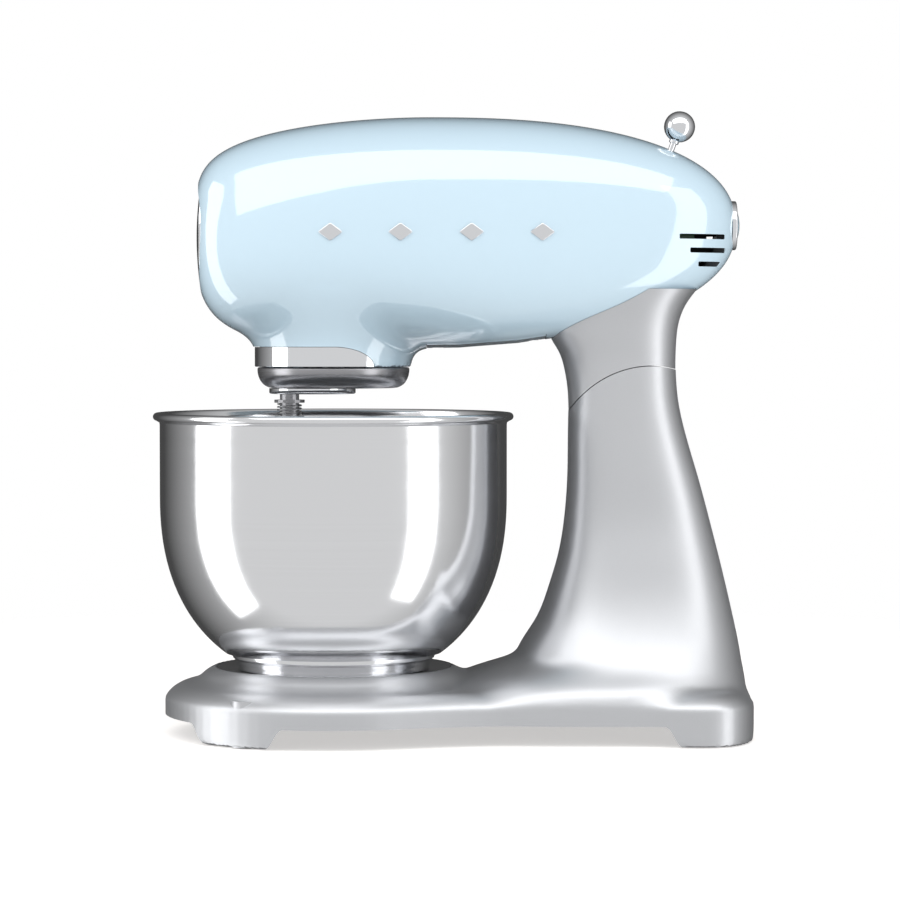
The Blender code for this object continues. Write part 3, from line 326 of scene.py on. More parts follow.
def arc(x: float, z: float, radius: float, first: float, last: float, count: int) -> list[Point2]:
    """Points along an arc.

    Args:
        x: Centre.
        z: Centre.
        radius: Radius.
        first: First angle in degrees.
        last: Last angle in degrees.
        count: Number of steps.

    Returns:
        The points.
    """
    angles = [math.radians(first + (last - first) * i / count) for i in range(count + 1)]
    return [(x + radius * math.cos(a), z + radius * math.sin(a)) for a in angles]


def bezier(start: Point2, pull: Point2, draw: Point2, end: Point2, count: int) -> list[Point2]:
    """Points along a cubic curve, its last point left out.

    Args:
        start: First point.
        pull: Handle of the first point.
        draw: Handle of the last point.
        end: Last point.
        count: Number of steps.

    Returns:
        The points.
    """
    points = []
    for i in range(count):
        t = i / count
        weights = ((1 - t) ** 3, 3 * t * (1 - t) ** 2, 3 * t * t * (1 - t), t ** 3)
        points.append(tuple(sum(w * c[k] for w, c in zip(weights, (start, pull, draw, end)))
                            for k in (0, 1)))
    return points


class Maker:
    """Shapes pieces with mesh operators and keeps them in the scene."""

    @staticmethod
    def turned(profile: Sequence[Point2], at: Sequence[float] = (0, 0, 0), turn: Matrix | None = None,
               steps: int = 96) -> bmesh.types.BMesh:
        """Spin a profile of (radius, height) once round its axis.

        Args:
            profile: The points of the profile; one that starts and ends on the axis makes a closed
                body, and any other is joined end to end into a ring.
            at: Where the axis passes.
            turn: Turns local +Z to the axis.
            steps: Number of steps round.

        Returns:
            The turned body.
        """
        bm = bmesh.new()
        verts = [bm.verts.new((r, 0.0, z)) for r, z in profile]
        edges = [bm.edges.new(pair) for pair in zip(verts, verts[1:])]
        on_axis = profile[0][0] < 1e-6 and profile[-1][0] < 1e-6
        if not on_axis:
            edges.append(bm.edges.new((verts[-1], verts[0])))
        bmesh.ops.spin(bm, geom=verts + edges, cent=(0, 0, 0), axis=(0, 0, 1), angle=2 * math.pi,
                       steps=steps, use_merge=True)
        bmesh.ops.remove_doubles(bm, verts=bm.verts, dist=1e-4)
        bmesh.ops.dissolve_degenerate(bm, edges=bm.edges, dist=1e-5)
        bmesh.ops.recalc_face_normals(bm, faces=bm.faces)
        bm.transform(Matrix.Translation(at) @ (turn or Matrix.Identity(4)))
        return bm

    @staticmethod
    def slab(outline: Sequence[Point2], low: float, high: float, turn: Matrix | None = None,
             round_by: float = 0.0) -> bmesh.types.BMesh:
        """Extrude a flat outline.

        Args:
            outline: The points of the outline.
            low: Where the slab starts.
            high: Where it ends.
            turn: Turns local +Z to the direction of the thickness.
            round_by: Width of the rounding along its edges.

        Returns:
            The slab.
        """
        bm = bmesh.new()
        face = bm.faces.new([bm.verts.new((x, y, low)) for x, y in outline])
        grown = bmesh.ops.extrude_face_region(bm, geom=[face])["geom"]
        bmesh.ops.translate(bm, vec=(0, 0, high - low),
                            verts=[v for v in grown if isinstance(v, bmesh.types.BMVert)])
        bmesh.ops.recalc_face_normals(bm, faces=bm.faces)
        if round_by:
            Maker.soften(bm, round_by, 40.0)
        if turn:
            bm.transform(turn)
        return bm

    @staticmethod
    def block(low: Sequence[float], high: Sequence[float], round_by: float = 0.0) -> bmesh.types.BMesh:
        """Make a box between two corners.

        Args:
            low: Lowest corner.
            high: Highest corner.
            round_by: Width of the rounding along its edges.

        Returns:
            The box.
        """
        bm = bmesh.new()
        size = Vector(high) - Vector(low)
        place = Matrix.Translation((Vector(low) + Vector(high)) / 2) @ Matrix.Diagonal((*size, 1.0))
        bmesh.ops.create_cube(bm, size=1.0, matrix=place)
        if round_by:
            Maker.soften(bm, round_by, 40.0)
        return bm

    @staticmethod
    def rod(radius: float, start: Sequence[float], end: Sequence[float],
            steps: int = 32) -> bmesh.types.BMesh:
        """Make a plain round rod between two points.

        Args:
            radius: Radius.
            start: Middle of one end.
            end: Middle of the other end.
            steps: Number of steps round.

        Returns:
            The rod.
        """
        bm = bmesh.new()
        line = Vector(end) - Vector(start)
        place = (Matrix.Translation((Vector(start) + Vector(end)) / 2)
                 @ Vector((0, 0, 1)).rotation_difference(line).to_matrix().to_4x4())
        bmesh.ops.create_cone(bm, cap_ends=True, segments=steps, radius1=radius, radius2=radius,
                              depth=line.length, matrix=place)
        return bm

    @staticmethod
    def loft(rings: Sequence[Sequence[Sequence[float]]]) -> bmesh.types.BMesh:
        """Bridge a row of rings and close both ends.

        Args:
            rings: The points of each ring, the same number in each.

        Returns:
            The closed body.
        """
        bm = bmesh.new()
        before: list[bmesh.types.BMEdge] = []
        for number, ring in enumerate(rings):
            known = len(bm.edges)
            made = bmesh.ops.create_circle(bm, segments=len(ring), radius=1.0)["verts"]
            for vert, place in zip(made, ring):
                vert.co = place
            edges = bm.edges[known:]
            if number:
                bmesh.ops.bridge_loops(bm, edges=before + edges)
            before = edges
        bmesh.ops.holes_fill(bm, edges=[e for e in bm.edges if e.is_boundary], sides=0)
        bmesh.ops.recalc_face_normals(bm, faces=bm.faces)
        return bm

    @staticmethod
    def soften(bm: bmesh.types.BMesh, width: float, angle: float, segments: int = 2,
               pick: Callable[[Vector], bool] | None = None) -> None:
        """Round every edge that is sharper than an angle.

        Args:
            bm: The body.
            width: Width of the rounding.
            angle: Smallest angle in degrees.
            segments: Number of steps across the rounding.
            pick: Says whether an edge whose middle is at a point is rounded.
        """
        limit = math.radians(angle)
        edges = [e for e in bm.edges if len(e.link_faces) == 2 and e.calc_face_angle(0.0) > limit
                 and (pick is None or pick((e.verts[0].co + e.verts[1].co) / 2))]
        bmesh.ops.bevel(bm, geom=edges, offset=width, offset_type="OFFSET", segments=segments, profile=0.5,
                        affect="EDGES", clamp_overlap=True, material=-1)

    @staticmethod
    def join(*parts: bmesh.types.BMesh) -> bmesh.types.BMesh:
        """Put several bodies in one, side by side.

        Args:
            parts: The bodies, which are used up.

        Returns:
            The joined body.
        """
        whole = parts[0]
        for part in parts[1:]:
            mesh = bpy.data.meshes.new("part")
            part.to_mesh(mesh)
            part.free()
            whole.from_mesh(mesh)
            bpy.data.meshes.remove(mesh)
        return whole

    @staticmethod
    def evaluated(bm: bmesh.types.BMesh, add: Callable[[bpy.types.Object], None]) -> bmesh.types.BMesh:
        """Run modifiers over a body.

        Args:
            bm: The body, which is used up.
            add: Adds the modifiers to an object that holds the body.

        Returns:
            The new body.
        """
        mesh = bpy.data.meshes.new("work")
        bm.to_mesh(mesh)
        bm.free()
        holder = bpy.data.objects.new("work", mesh)
        bpy.context.scene.collection.objects.link(holder)
        add(holder)
        graph = bpy.context.evaluated_depsgraph_get()
        result = bpy.data.meshes.new_from_object(holder.evaluated_get(graph))
        made = bmesh.new()
        made.from_mesh(result)
        bpy.data.objects.remove(holder)
        bpy.data.meshes.remove(mesh)
        bpy.data.meshes.remove(result)
        return made

    @classmethod
    def carve(cls, bm: bmesh.types.BMesh, steps: Iterable[tuple[Carve, bmesh.types.BMesh]]
              ) -> bmesh.types.BMesh:
        """Cut, join or trim a body with others, one after another.

        Args:
            bm: The body, which is used up.
            steps: Pairs of what to do and the other body, which is used up.

        Returns:
            The carved body.
        """
        tools = []

        def add(holder: bpy.types.Object) -> None:
            """Add a Boolean for each step."""
            for operation, other in steps:
                mesh = bpy.data.meshes.new("tool")
                other.to_mesh(mesh)
                other.free()
                tool = bpy.data.objects.new("tool", mesh)
                bpy.context.scene.collection.objects.link(tool)
                tools.append(tool)
                modifier = holder.modifiers.new(operation.name, "BOOLEAN")
                modifier.operation = operation.value
                modifier.solver = "MANIFOLD"
                modifier.object = tool

        made = cls.evaluated(bm, add)
        for tool in tools:
            mesh = tool.data
            bpy.data.objects.remove(tool)
            bpy.data.meshes.remove(mesh)
        return made

    @classmethod
    def cast(cls, blank: bmesh.types.BMesh, field: Field, cell: float, rounds: int = 4) -> bmesh.types.BMesh:
        """Fuse a rough blank into one skin and draw it onto a field's surface.

        Args:
            blank: The rough blank, which is used up.
            field: Distances to the wanted surface.
            cell: Size of the skin's faces.
            rounds: How often the skin is drawn onto the surface.

        Returns:
            The smooth skin.
        """
        def add(holder: bpy.types.Object) -> None:
            """Add the remesh."""
            remesh = holder.modifiers.new("skin", "REMESH")
            remesh.mode = "VOXEL"
            remesh.voxel_size = cell

        bm = cls.evaluated(blank, add)
        for number in range(rounds):
            if number:
                bmesh.ops.smooth_vert(bm, verts=bm.verts, factor=0.5, use_axis_x=True, use_axis_y=True,
                                      use_axis_z=True)
            points = np.array([v.co for v in bm.verts])
            for _ in range(2):
                away = slope(field, points)
                steep = np.maximum((away ** 2).sum(axis=1), 1e-6)
                step = np.clip(field(points) / np.sqrt(steep), -2.0 * cell, 2.0 * cell)
                points -= away * (step / np.sqrt(steep))[:, None]
            for vert, place in zip(bm.verts, points):
                vert.co = place
        return bm

    @staticmethod
    def keep(name: str, bm: bmesh.types.BMesh, finish: Finish, body: str, nodes: Sequence[str] = (),
             angle: float = 32.0, lining: Finish | None = None) -> bpy.types.Object:
        """Turn a body into metres, dress it and fix it to the frame.

        Args:
            name: The piece's name.
            bm: The body, which is used up.
            finish: Its finish.
            body: The moving body that carries it.
            nodes: The frame's nodes that it stands for.
            angle: Edges sharper than this many degrees stay sharp.
            lining: Finish of the faces that are marked with material index 1.

        Returns:
            The piece.
        """
        bm.transform(Matrix.Scale(MM, 4))
        mesh = bpy.data.meshes.new(name)
        bm.to_mesh(mesh)
        bm.free()
        for coat in (finish, lining):
            if coat:
                mesh.materials.append(coat.material())
        mesh.shade_smooth()
        mesh.set_sharp_from_angle(angle=math.radians(angle))
        piece = bpy.data.objects.new(name, mesh)
        bpy.context.scene.collection.objects.link(piece)
        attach(piece, body)
        if nodes:
            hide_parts(*nodes)
        LOG.info("%s: %d faces on %s", name, len(mesh.polygons), body)
        return piece


ALONG_X = Matrix.Rotation(math.pi / 2, 4, "Y")        # turns local +Z to +X and local +X to -Z
ACROSS = Matrix.Rotation(math.pi / 2, 4, "X")         # turns local +Y to +Z and local +Z to -Y


# Forms ------------------------------------------------------------------------------------------

@dataclass(frozen=True)
class Superloft:
    """A form whose level sections are superellipses that grow and shrink smoothly with height."""

    stations: tuple[tuple[float, float, float, float], ...]     # height, front, rear, half-width
    power: float = 2.8

    def __post_init__(self) -> None:
        """Lay the smooth curves through the stations."""
        columns = list(zip(*self.stations))
        for name, column in zip(("front", "rear", "half_width"), columns[1:]):
            object.__setattr__(self, name, curve_through(columns[0], column))

    def field(self, points: np.ndarray) -> np.ndarray:
        """How far outside the form some points are, as a part of its half-size.

        Args:
            points: The points, one row each.

        Returns:
            The values, 0 on the form's side.
        """
        x, y, z = points.T
        front, rear, half = self.front(z), self.rear(z), self.half_width(z)
        run = np.abs((2 * x - front - rear) / (rear - front)) ** self.power
        return (run + np.abs(y / half) ** self.power) ** (1 / self.power) - 1.0

    def blank(self, levels: Sequence[float], shrink: float = 0.0, count: int = 64) -> bmesh.types.BMesh:
        """Loft the form between some heights.

        Args:
            levels: The heights of the rings.
            shrink: How much smaller the form is all round.
            count: Number of points in a ring.

        Returns:
            The closed loft.
        """
        rings = []
        for z in levels:
            front, rear, half = (float(f(np.array(z))) for f in (self.front, self.rear, self.half_width))
            ring = []
            for i in range(count):
                angle = 2 * math.pi * i / count
                cos, sin = math.cos(angle), math.sin(angle)
                along = math.copysign(abs(cos) ** (2 / self.power), cos)
                across = math.copysign(abs(sin) ** (2 / self.power), sin)
                ring.append(((front + rear) / 2 + along * ((rear - front) / 2 - shrink),
                             across * (half - shrink), z))
            rings.append(ring)
        return Maker.loft(rings)


@dataclass(frozen=True)
class HeadForm:
    """The head's rounded form: upright sections that close along a different curve in each quarter."""

    x: float = -14.4              # where it is tallest
    z: float = 309.8
    front: float = 141.5
    rear: float = 188.8
    up: float = 67.1
    down: float = 73.9
    half_width: float = 62.0
    section: float = 2.5
    front_top: Point2 = (1.79, 4.31)
    front_bottom: Point2 = (4.03, 4.00)
    rear_top: Point2 = (2.44, 2.33)
    rear_bottom: Point2 = (1.90, 2.27)

    def powers(self, forward: np.ndarray, up: np.ndarray) -> tuple[np.ndarray, np.ndarray]:
        """The powers of the outline at a place round a section.

        Args:
            forward: Whether the place is in front of the tallest section.
            up: The place's height in its section, from -1 to 1.

        Returns:
            The power along the head and the power across it.
        """
        mix = smooth_step(up)
        found = []
        for k in (0, 1):
            top = np.where(forward, self.front_top[k], self.rear_top[k])
            bottom = np.where(forward, self.front_bottom[k], self.rear_bottom[k])
            found.append(bottom + (top - bottom) * mix)
        return found[0], found[1]

    def field(self, points: np.ndarray) -> np.ndarray:
        """How far outside the head some points are, as a part of its size.

        Args:
            points: The points, one row each.

        Returns:
            The values, 0 on the head's skin.
        """
        x, y, z = points.T
        forward = x < self.x
        along = np.abs(x - self.x) / np.where(forward, self.front, self.rear)
        rise = (z - self.z) / np.where(z > self.z, self.up, self.down)
        side = np.abs(y / self.half_width)
        out = (np.abs(rise) ** self.section + side ** self.section) ** (1 / self.section)
        p, q = self.powers(forward, rise / np.maximum(out, 1e-6))
        return (out ** q + along ** p) ** (2 / (p + q)) - 1.0

    def blank(self, grow: float = 0.0, shorten: Point2 = (0.0, 0.0), steps: int = 96) -> bmesh.types.BMesh:
        """Shape a ball into the head.

        Args:
            grow: How far its skin moves outwards.
            shorten: How much shorter it is in front and at the back.
            steps: Number of steps round and along.

        Returns:
            The closed form.
        """
        bm = bmesh.new()
        bmesh.ops.create_uvsphere(bm, u_segments=steps, v_segments=steps, radius=1.0,
                                  matrix=Matrix.Rotation(math.pi / 2, 4, "Y"))
        for vert in bm.verts:
            along, side, up = vert.co
            around = math.hypot(side, up)
            reach = (self.front - shorten[0] if along < 0 else self.rear - shorten[1]) + grow
            if around < 1e-6:
                vert.co = (self.x + math.copysign(reach, along), 0.0, self.z)
                continue
            sine = math.copysign(abs(up / around) ** (2 / self.section), up)
            cosine = math.copysign(abs(side / around) ** (2 / self.section), side)
            p, q = (float(v) for v in self.powers(np.array(along < 0), np.array(sine)))
            size = max(0.0, 1.0 - abs(along) ** p) ** (1 / q)
            height = (self.up if up > 0 else self.down) + grow
            vert.co = (self.x + along * reach, (self.half_width + grow) * cosine * size,
                       self.z + height * sine * size)
        bmesh.ops.recalc_face_normals(bm, faces=bm.faces)
        return bm

    def side(self, x: float, z: float) -> float:
        """Half the head's width at a place in its side view.

        Args:
            x: Place along the head.
            z: Height.

        Returns:
            The distance from the middle plane to the skin.
        """
        forward = np.array(x < self.x)
        along = abs(x - self.x) / (self.front if x < self.x else self.rear)
        rise = (z - self.z) / (self.up if z > self.z else self.down)
        size = 1.0
        for _ in range(12):
            p, q = (float(v) for v in self.powers(forward, np.array(rise / size)))
            size = max(1e-3, 1.0 - along ** p) ** (1 / q)
        left = max(0.0, size ** self.section - abs(rise) ** self.section)
        return self.half_width * left ** (1 / self.section)


# Sub-assemblies ---------------------------------------------------------------------------------

@dataclass
class Stand:
    """The foot, pedestal and column, with the pads, the seat of the bowl and the cable's inlet."""

    bowl_x: float = -72.1
    rear_x: float = 182.6
    front_r: float = 103.4
    plate_top: float = 31.5
    edge_reach: float = 15.0      # how far in from the outline the sloping upper edge begins
    edge_drop: float = 9.5
    edge_turn: float = 1.35       # 1 for a hard crease where the side turns in, 2 for a round one
    skirt: Point2 = (1.2, 6.0)    # how far the side draws in, below which height
    bottom: float = 0.6
    wall: float = 4.5
    arch: float = 12.5
    side_arch: Point2 = (-109.5, 137.0)
    front_arch_half: float = 71.0
    rear_arch_half: float = 57.0
    arches_meet: float = 0.0      # where along the foot the front arch gives way to the rear one
    hollow_top: float = 26.5
    seat_top: float = 41.0
    seat_r: float = 72.4
    seat_recess: float = 36.2     # height of the recess that the seat drops into
    seat_room: Point3 = (66.0, 20.0, 32.0)   # radius, low and high of the room below
    pivot: Point2 = (121.35, 166.9)
    dome_r: float = 58.2
    pad_r: float = 8.2
    pad_height: float = 5.0
    pad_boss_r: float = 9.8
    pads: tuple[Point2, ...] = ((-121.0, 79.0), (-121.0, -79.0), (160.0, 62.0), (160.0, -62.0))
    gland_x: float = 174.4
    gland_z: float = 56.0
    gland_flange: Point2 = (9.4, 2.2)       # radius and thickness
    gland_barrel_r: float = 7.0
    gland_boss: Point3 = (12.5, 163.0, 173.0)   # radius, front and rear
    gap: float = 0.3              # clearance between fitted pieces
    column: Superloft = Superloft((
        (24.0, -12.0, 181.0, 83.0),
        (33.0, 0.0, 180.0, 79.0),
        (40.5, 20.0, 178.8, 72.0),
        (44.5, 32.4, 178.0, 68.5),
        (53.0, 42.1, 176.6, 63.0),
        (69.0, 52.0, 173.4, 55.5),
        (88.5, 59.8, 169.0, 49.0),
        (108.0, 65.6, 164.3, 44.5),
        (131.5, 69.6, 158.3, 40.0),
        (157.0, 71.5, 151.4, 37.3),
        (186.0, 71.9, 143.0, 35.0),
        (205.0, 72.3, 139.0, 34.0),
        (232.0, 72.5, 137.4, 33.0),
    ))

    def outline(self, inset: float = 0.0) -> list[Point2]:
        """The foot in plan: round front, narrow waist, squarer back.

        Args:
            inset: How far inside the edge.

        Returns:
            The points, in order round the foot.
        """
        side = arc(self.bowl_x, 0.0, self.front_r, 180.0, 70.0, 28)
        side += bezier(side.pop(), (12.0, 79.5), (62.0, 68.0), (134.0, 85.5), 16)
        side += bezier((134.0, 85.5), (160.0, 91.8), (180.5, 84.0), (self.rear_x, 42.0), 16)
        side += [(self.rear_x, 42.0), (self.rear_x, 14.0)]
        whole = side + [(x, -y) for x, y in reversed(side[1:])]
        if not inset:
            return whole
        moved = []
        for i, (x, y) in enumerate(whole):
            along = (Vector(whole[(i + 1) % len(whole)]) - Vector(whole[i - 1])).normalized()
            moved.append((x + along.y * inset, y - along.x * inset))
        return moved

    def depth_inside(self, points: np.ndarray) -> np.ndarray:
        """How far inside the foot's outline some points are in plan.

        Args:
            points: The points, one row each.

        Returns:
            The depths, negative outside.
        """
        corners = np.array(self.outline())
        nearest = np.full(len(points), np.inf)
        inside = np.zeros(len(points), bool)
        x, y = points[:, 0], points[:, 1]
        for (ax, ay), (bx, by) in zip(corners, np.roll(corners, -1, axis=0)):
            run, rise = bx - ax, by - ay
            share = np.clip(((x - ax) * run + (y - ay) * rise) / (run * run + rise * rise), 0.0, 1.0)
            nearest = np.minimum(nearest, np.hypot(x - ax - share * run, y - ay - share * rise))
            if ay != by:
                crosses = (ay > y) != (by > y)
                inside ^= crosses & (x < ax + (y - ay) * run / rise)
        return np.where(inside, nearest, -nearest)

    def foot_field(self, points: np.ndarray) -> np.ndarray:
        """The foot's plate with its rounded edges, as a field in millimetres.

        Args:
            points: The points, one row each.

        Returns:
            The values, 0 on the plate's skin.
        """
        z = points[:, 2]
        below = np.clip((self.skirt[1] - z) / (self.skirt[1] - self.bottom), 0.0, 1.0)
        depth = self.depth_inside(points) - self.skirt[0] * (1.0 - np.sqrt(1.0 - below ** 2))
        across = np.maximum(self.edge_reach - depth, 0.0) / self.edge_reach
        up = np.maximum(z - (self.plate_top - self.edge_drop), 0.0) / self.edge_drop
        side = (across ** 2 + up ** self.edge_turn - 1.0) * 0.7 * self.edge_drop
        return np.maximum(side, self.bottom - z)

    def pedestal_field(self, points: np.ndarray) -> np.ndarray:
        """The raised ring that carries the bowl's seat, as a field in millimetres.

        Args:
            points: The points, one row each.

        Returns:
            The values, 0 on the ring's skin.
        """
        z = points[:, 2]
        edge = curve_through((30.5, 34.6, 38.6, self.seat_top), (92.0, 83.0, 78.0, 73.6))
        side = (np.hypot(points[:, 0] - self.bowl_x, points[:, 1]) - edge(z)) * 0.5
        return np.maximum(side, z - self.seat_top)

    def field(self, points: np.ndarray) -> np.ndarray:
        """Distances to the whole casting's outer skin, its top left open upwards."""
        foot = np.where(points[:, 2] < 60.0, 0.0, 100.0)
        low = points[:, 2] < 60.0
        foot[low] = self.foot_field(points[low])
        foot[low] = soft_union(foot[low], self.pedestal_field(points[low]), 2.0)
        column = distance(self.column.field, points)
        return soft_union(foot, column, 5.0)

    def build(self) -> None:
        """Build the casting and everything fixed to it."""
        self.build_casting()
        self.build_seat()
        self.build_pads()
        self.build_gland()

    def arch_outline(self, first: float, last: float) -> list[Point2]:
        """Side view of an arch between two feet, each end an S-curve from the sole to the top.

        Args:
            first: Where the arch starts.
            last: Where it ends.

        Returns:
            The points.
        """
        near = bezier((-1.0, 0.4), (4.5, 0.4), (5.5, self.arch), (11.0, self.arch), 16) + [(11.0, self.arch)]
        outline = [(first - 1, -5)] + [(first + x, z) for x, z in near]
        return outline + [(last - x, z) for x, z in reversed(near)] + [(last + 1, -5)]

    def under_dome(self, radius: float, steps: int) -> bmesh.types.BMesh:
        """Everything below the joint's round top.

        Args:
            radius: The top's radius about the pivot.
            steps: Number of steps along its arc.

        Returns:
            The space as a closed body.
        """
        px, pz = self.pivot
        outline = arc(px, pz, radius, 180, 0, steps)
        outline += [(px + 120, pz - 60), (px + 120, -20), (px - 340, -20), (px - 340, pz - 60)]
        return Maker.slab(outline, -120, 120, ACROSS)

    def build_casting(self) -> None:
        """Cast the outer skin, then cut the hollow, the arches and the joint's round top."""
        plate = Maker.slab(self.outline(), self.bottom, self.plate_top)
        pedestal = Maker.rod(78.0, (self.bowl_x, 0, 20), (self.bowl_x, 0, self.seat_top), 64)
        levels = list(np.linspace(26.0, 60.0, 12)) + list(np.linspace(66.0, 230.0, 18))
        blank = Maker.join(plate, pedestal, self.column.blank(levels))
        skin = Maker.cast(blank, self.field, 2.2)

        px, pz = self.pivot
        dome = self.under_dome(self.dome_r, 96)
        hollow = Maker.slab(self.outline(self.wall + 1.0), -2.0, self.hollow_top)
        inside = self.column.blank([24, 33, 40.5, 44.5, 53, 69, 88.5, 131.5, 186, 200], self.wall, 48)
        tongue_slot = Maker.slab(arc(px, pz, self.dome_r + 6, 128, 76, 12)
                                 + arc(px, pz, self.dome_r - 12, 76, 128, 12), -16, 16, ACROSS)
        inside = Maker.carve(inside, [(Carve.TRIM, self.under_dome(self.dome_r - self.wall, 48))])
        along_x = Matrix.Rotation(math.pi / 2, 4, "Z") @ ACROSS
        room_r, room_low, room_high = self.seat_room
        boss_r, boss_front, boss_rear = self.gland_boss
        flange_r, flange = self.gland_flange
        behind = (200, 0, self.gland_z)
        steps = [
            (Carve.TRIM, dome),
            (Carve.CUT, hollow),
            (Carve.CUT, Maker.rod(room_r, (self.bowl_x, 0, room_low), (self.bowl_x, 0, room_high), 64)),
            (Carve.CUT, inside),
            (Carve.CUT, Maker.rod(self.seat_r + self.gap, (self.bowl_x, 0, self.seat_recess),
                                  (self.bowl_x, 0, 50), 96)),
            (Carve.CUT, Maker.slab(self.arch_outline(*self.side_arch), -150, 150, ACROSS)),
            (Carve.CUT, Maker.slab(self.arch_outline(-self.front_arch_half, self.front_arch_half),
                                   self.arches_meet - 199.5, self.arches_meet + 0.5, along_x)),
            (Carve.CUT, Maker.slab(self.arch_outline(-self.rear_arch_half, self.rear_arch_half),
                                   self.arches_meet - 1.0, self.arches_meet + 199.0, along_x)),
            (Carve.CUT, tongue_slot),
            (Carve.ADD, Maker.rod(boss_r, (boss_front, 0, self.gland_z), (boss_rear, 0, self.gland_z), 64)),
            (Carve.CUT, Maker.rod(self.gland_barrel_r + self.gap, (boss_front - 5.0, 0, self.gland_z),
                                  behind, 64)),
            (Carve.CUT, Maker.rod(flange_r + self.gap, (self.gland_x - flange - self.gap, 0, self.gland_z),
                                  behind, 64)),
        ]
        for x, y in self.pads:
            steps.append((Carve.ADD, Maker.rod(self.pad_boss_r, (x, y, self.bottom), (x, y, 28.0), 48)))
            steps.append((Carve.CUT, Maker.rod(self.pad_r + self.gap, (x, y, -2.0),
                                               (x, y, self.pad_height + self.gap), 48)))
        Maker.keep("stand_casting_fine", Maker.carve(skin, steps), SILVER, "stand", ["stand_casting"])

    def build_seat(self) -> None:
        """Turn the polished dish that the bowl stands in."""
        dish = Maker.turned([(0, 39.3), (61.5, 39.3), (62.6, 39.4), (63.5, 39.6), (66.5, 40.15), (69.6, 40.7),
                             (70.6, 40.95), (71.4, 41.0), (72.1, 40.8), (self.seat_r, 40.3),
                             (self.seat_r, 36.5), (0, 36.5)], (self.bowl_x, 0, 0), steps=128)
        Maker.keep("bowl_seat_fine", dish, SEAT_STEEL, "stand", ["bowl_seat"])

    def build_pads(self) -> None:
        """Turn the four rubber pads, each with a groove and a ribbed sole."""
        for (x, y), node in zip(self.pads, ("foot_pad_front_left", "foot_pad_front_right",
                                            "foot_pad_rear_left", "foot_pad_rear_right")):
            edge, top = self.pad_r, self.pad_height
            sole = [(0, 0.5), (4.4, 0.5), (4.9, 0.0), (edge - 1.0, 0.0), (edge - 0.3, 0.25), (edge, 0.9)]
            side = [(edge, 2.0), (edge - 0.4, 2.3), (edge - 0.4, 2.7), (edge, 3.0), (edge, top), (0, top)]
            pad = Maker.turned(sole + side, (x, y, 0), steps=48)
            Maker.keep(node + "_fine", pad, RUBBER, "stand", [node])

    def build_gland(self) -> None:
        """Turn the cable's inlet, a grommet with a rounded lip."""
        flange_r, thick = self.gland_flange
        flange, front = self.gland_x - thick, self.gland_boss[1] - 2.5
        barrel_r = self.gland_barrel_r
        lip = arc(flange_r - 1.0, self.gland_x - 1.0, 1.0, 90, 0, 6)
        lip += [(flange_r, flange), (barrel_r, flange)]
        ring = [(3.6, front), (3.6, self.gland_x - 0.5), (4.1, self.gland_x)] + lip + [(barrel_r, front)]
        Maker.keep("cable_gland_fine", Maker.turned(ring, (0, 0, self.gland_z), ALONG_X, 48), RUBBER, "stand",
                   ["cable_gland"])


@dataclass
class Bowl:
    """The steel bowl with its rolled rim and foot ring."""

    x: float = -72.1
    rim_r: float = 110.5
    bead_r: float = 2.4
    rim_z: float = 194.2
    wall_r: float = 106.4
    wall_bottom: float = 146.0
    curve_height: float = 115.5
    curve_power: float = 2.3
    sheet: float = 1.2
    floor: float = 46.0
    foot_r: float = 62.0

    def radius(self, height: float, inset: float = 0.0) -> float:
        """Radius of the rounded lower wall at a height.

        Args:
            height: The height.
            inset: How far inside the outer face.

        Returns:
            The radius.
        """
        drop = (self.wall_bottom - height) / (self.curve_height - inset)
        return (self.wall_r - inset) * (1.0 - drop ** self.curve_power) ** (1.0 / self.curve_power)

    def build(self) -> None:
        """Turn the bowl in one sheet: floor, wall, rolled rim, wall again and foot ring."""
        depth = self.wall_bottom - 49.5
        heights = [self.wall_bottom - depth * math.sin(math.pi / 2 * i / 26) for i in range(27)]
        top = self.floor + self.sheet
        inner = [(self.radius(z, self.sheet), z) for z in reversed(heights)]
        outer = [(self.radius(z), z) for z in heights]
        bead = arc(self.rim_r - self.bead_r, self.rim_z, self.bead_r, 175, -80, 18)
        wall_in = [(self.wall_r - self.sheet, z) for z in (160.0, 176.0, 188.0)]
        neck_in = [(self.wall_r - self.sheet, 191.5), (self.wall_r - 1.1, 193.2)]
        wall_out = [(self.wall_r + 0.15, 190.6)] + [(self.wall_r, z) for z in (189.0, 176.0, 160.0)]
        foot = [(self.foot_r, 49.0), (self.foot_r, 47.0), (61.75, 46.4), (61.2, 46.0), (60.8, 45.7),
                (60.6, 45.2), (58.9, 40.1), (58.6, 39.6), (56.6, 39.6), (56.8, 40.6), (57.2, self.floor),
                (0, self.floor)]
        profile = [(0, top), (50.0, top), (54.0, top + 0.4), (57.0, top + 1.2)] + inner + wall_in + neck_in
        profile += bead + wall_out + outer + foot
        sheet = Maker.turned(profile, (self.x, 0, 0), steps=192)
        Maker.keep("bowl_fine", sheet, TURNED_STEEL, "bowl", ["bowl"])


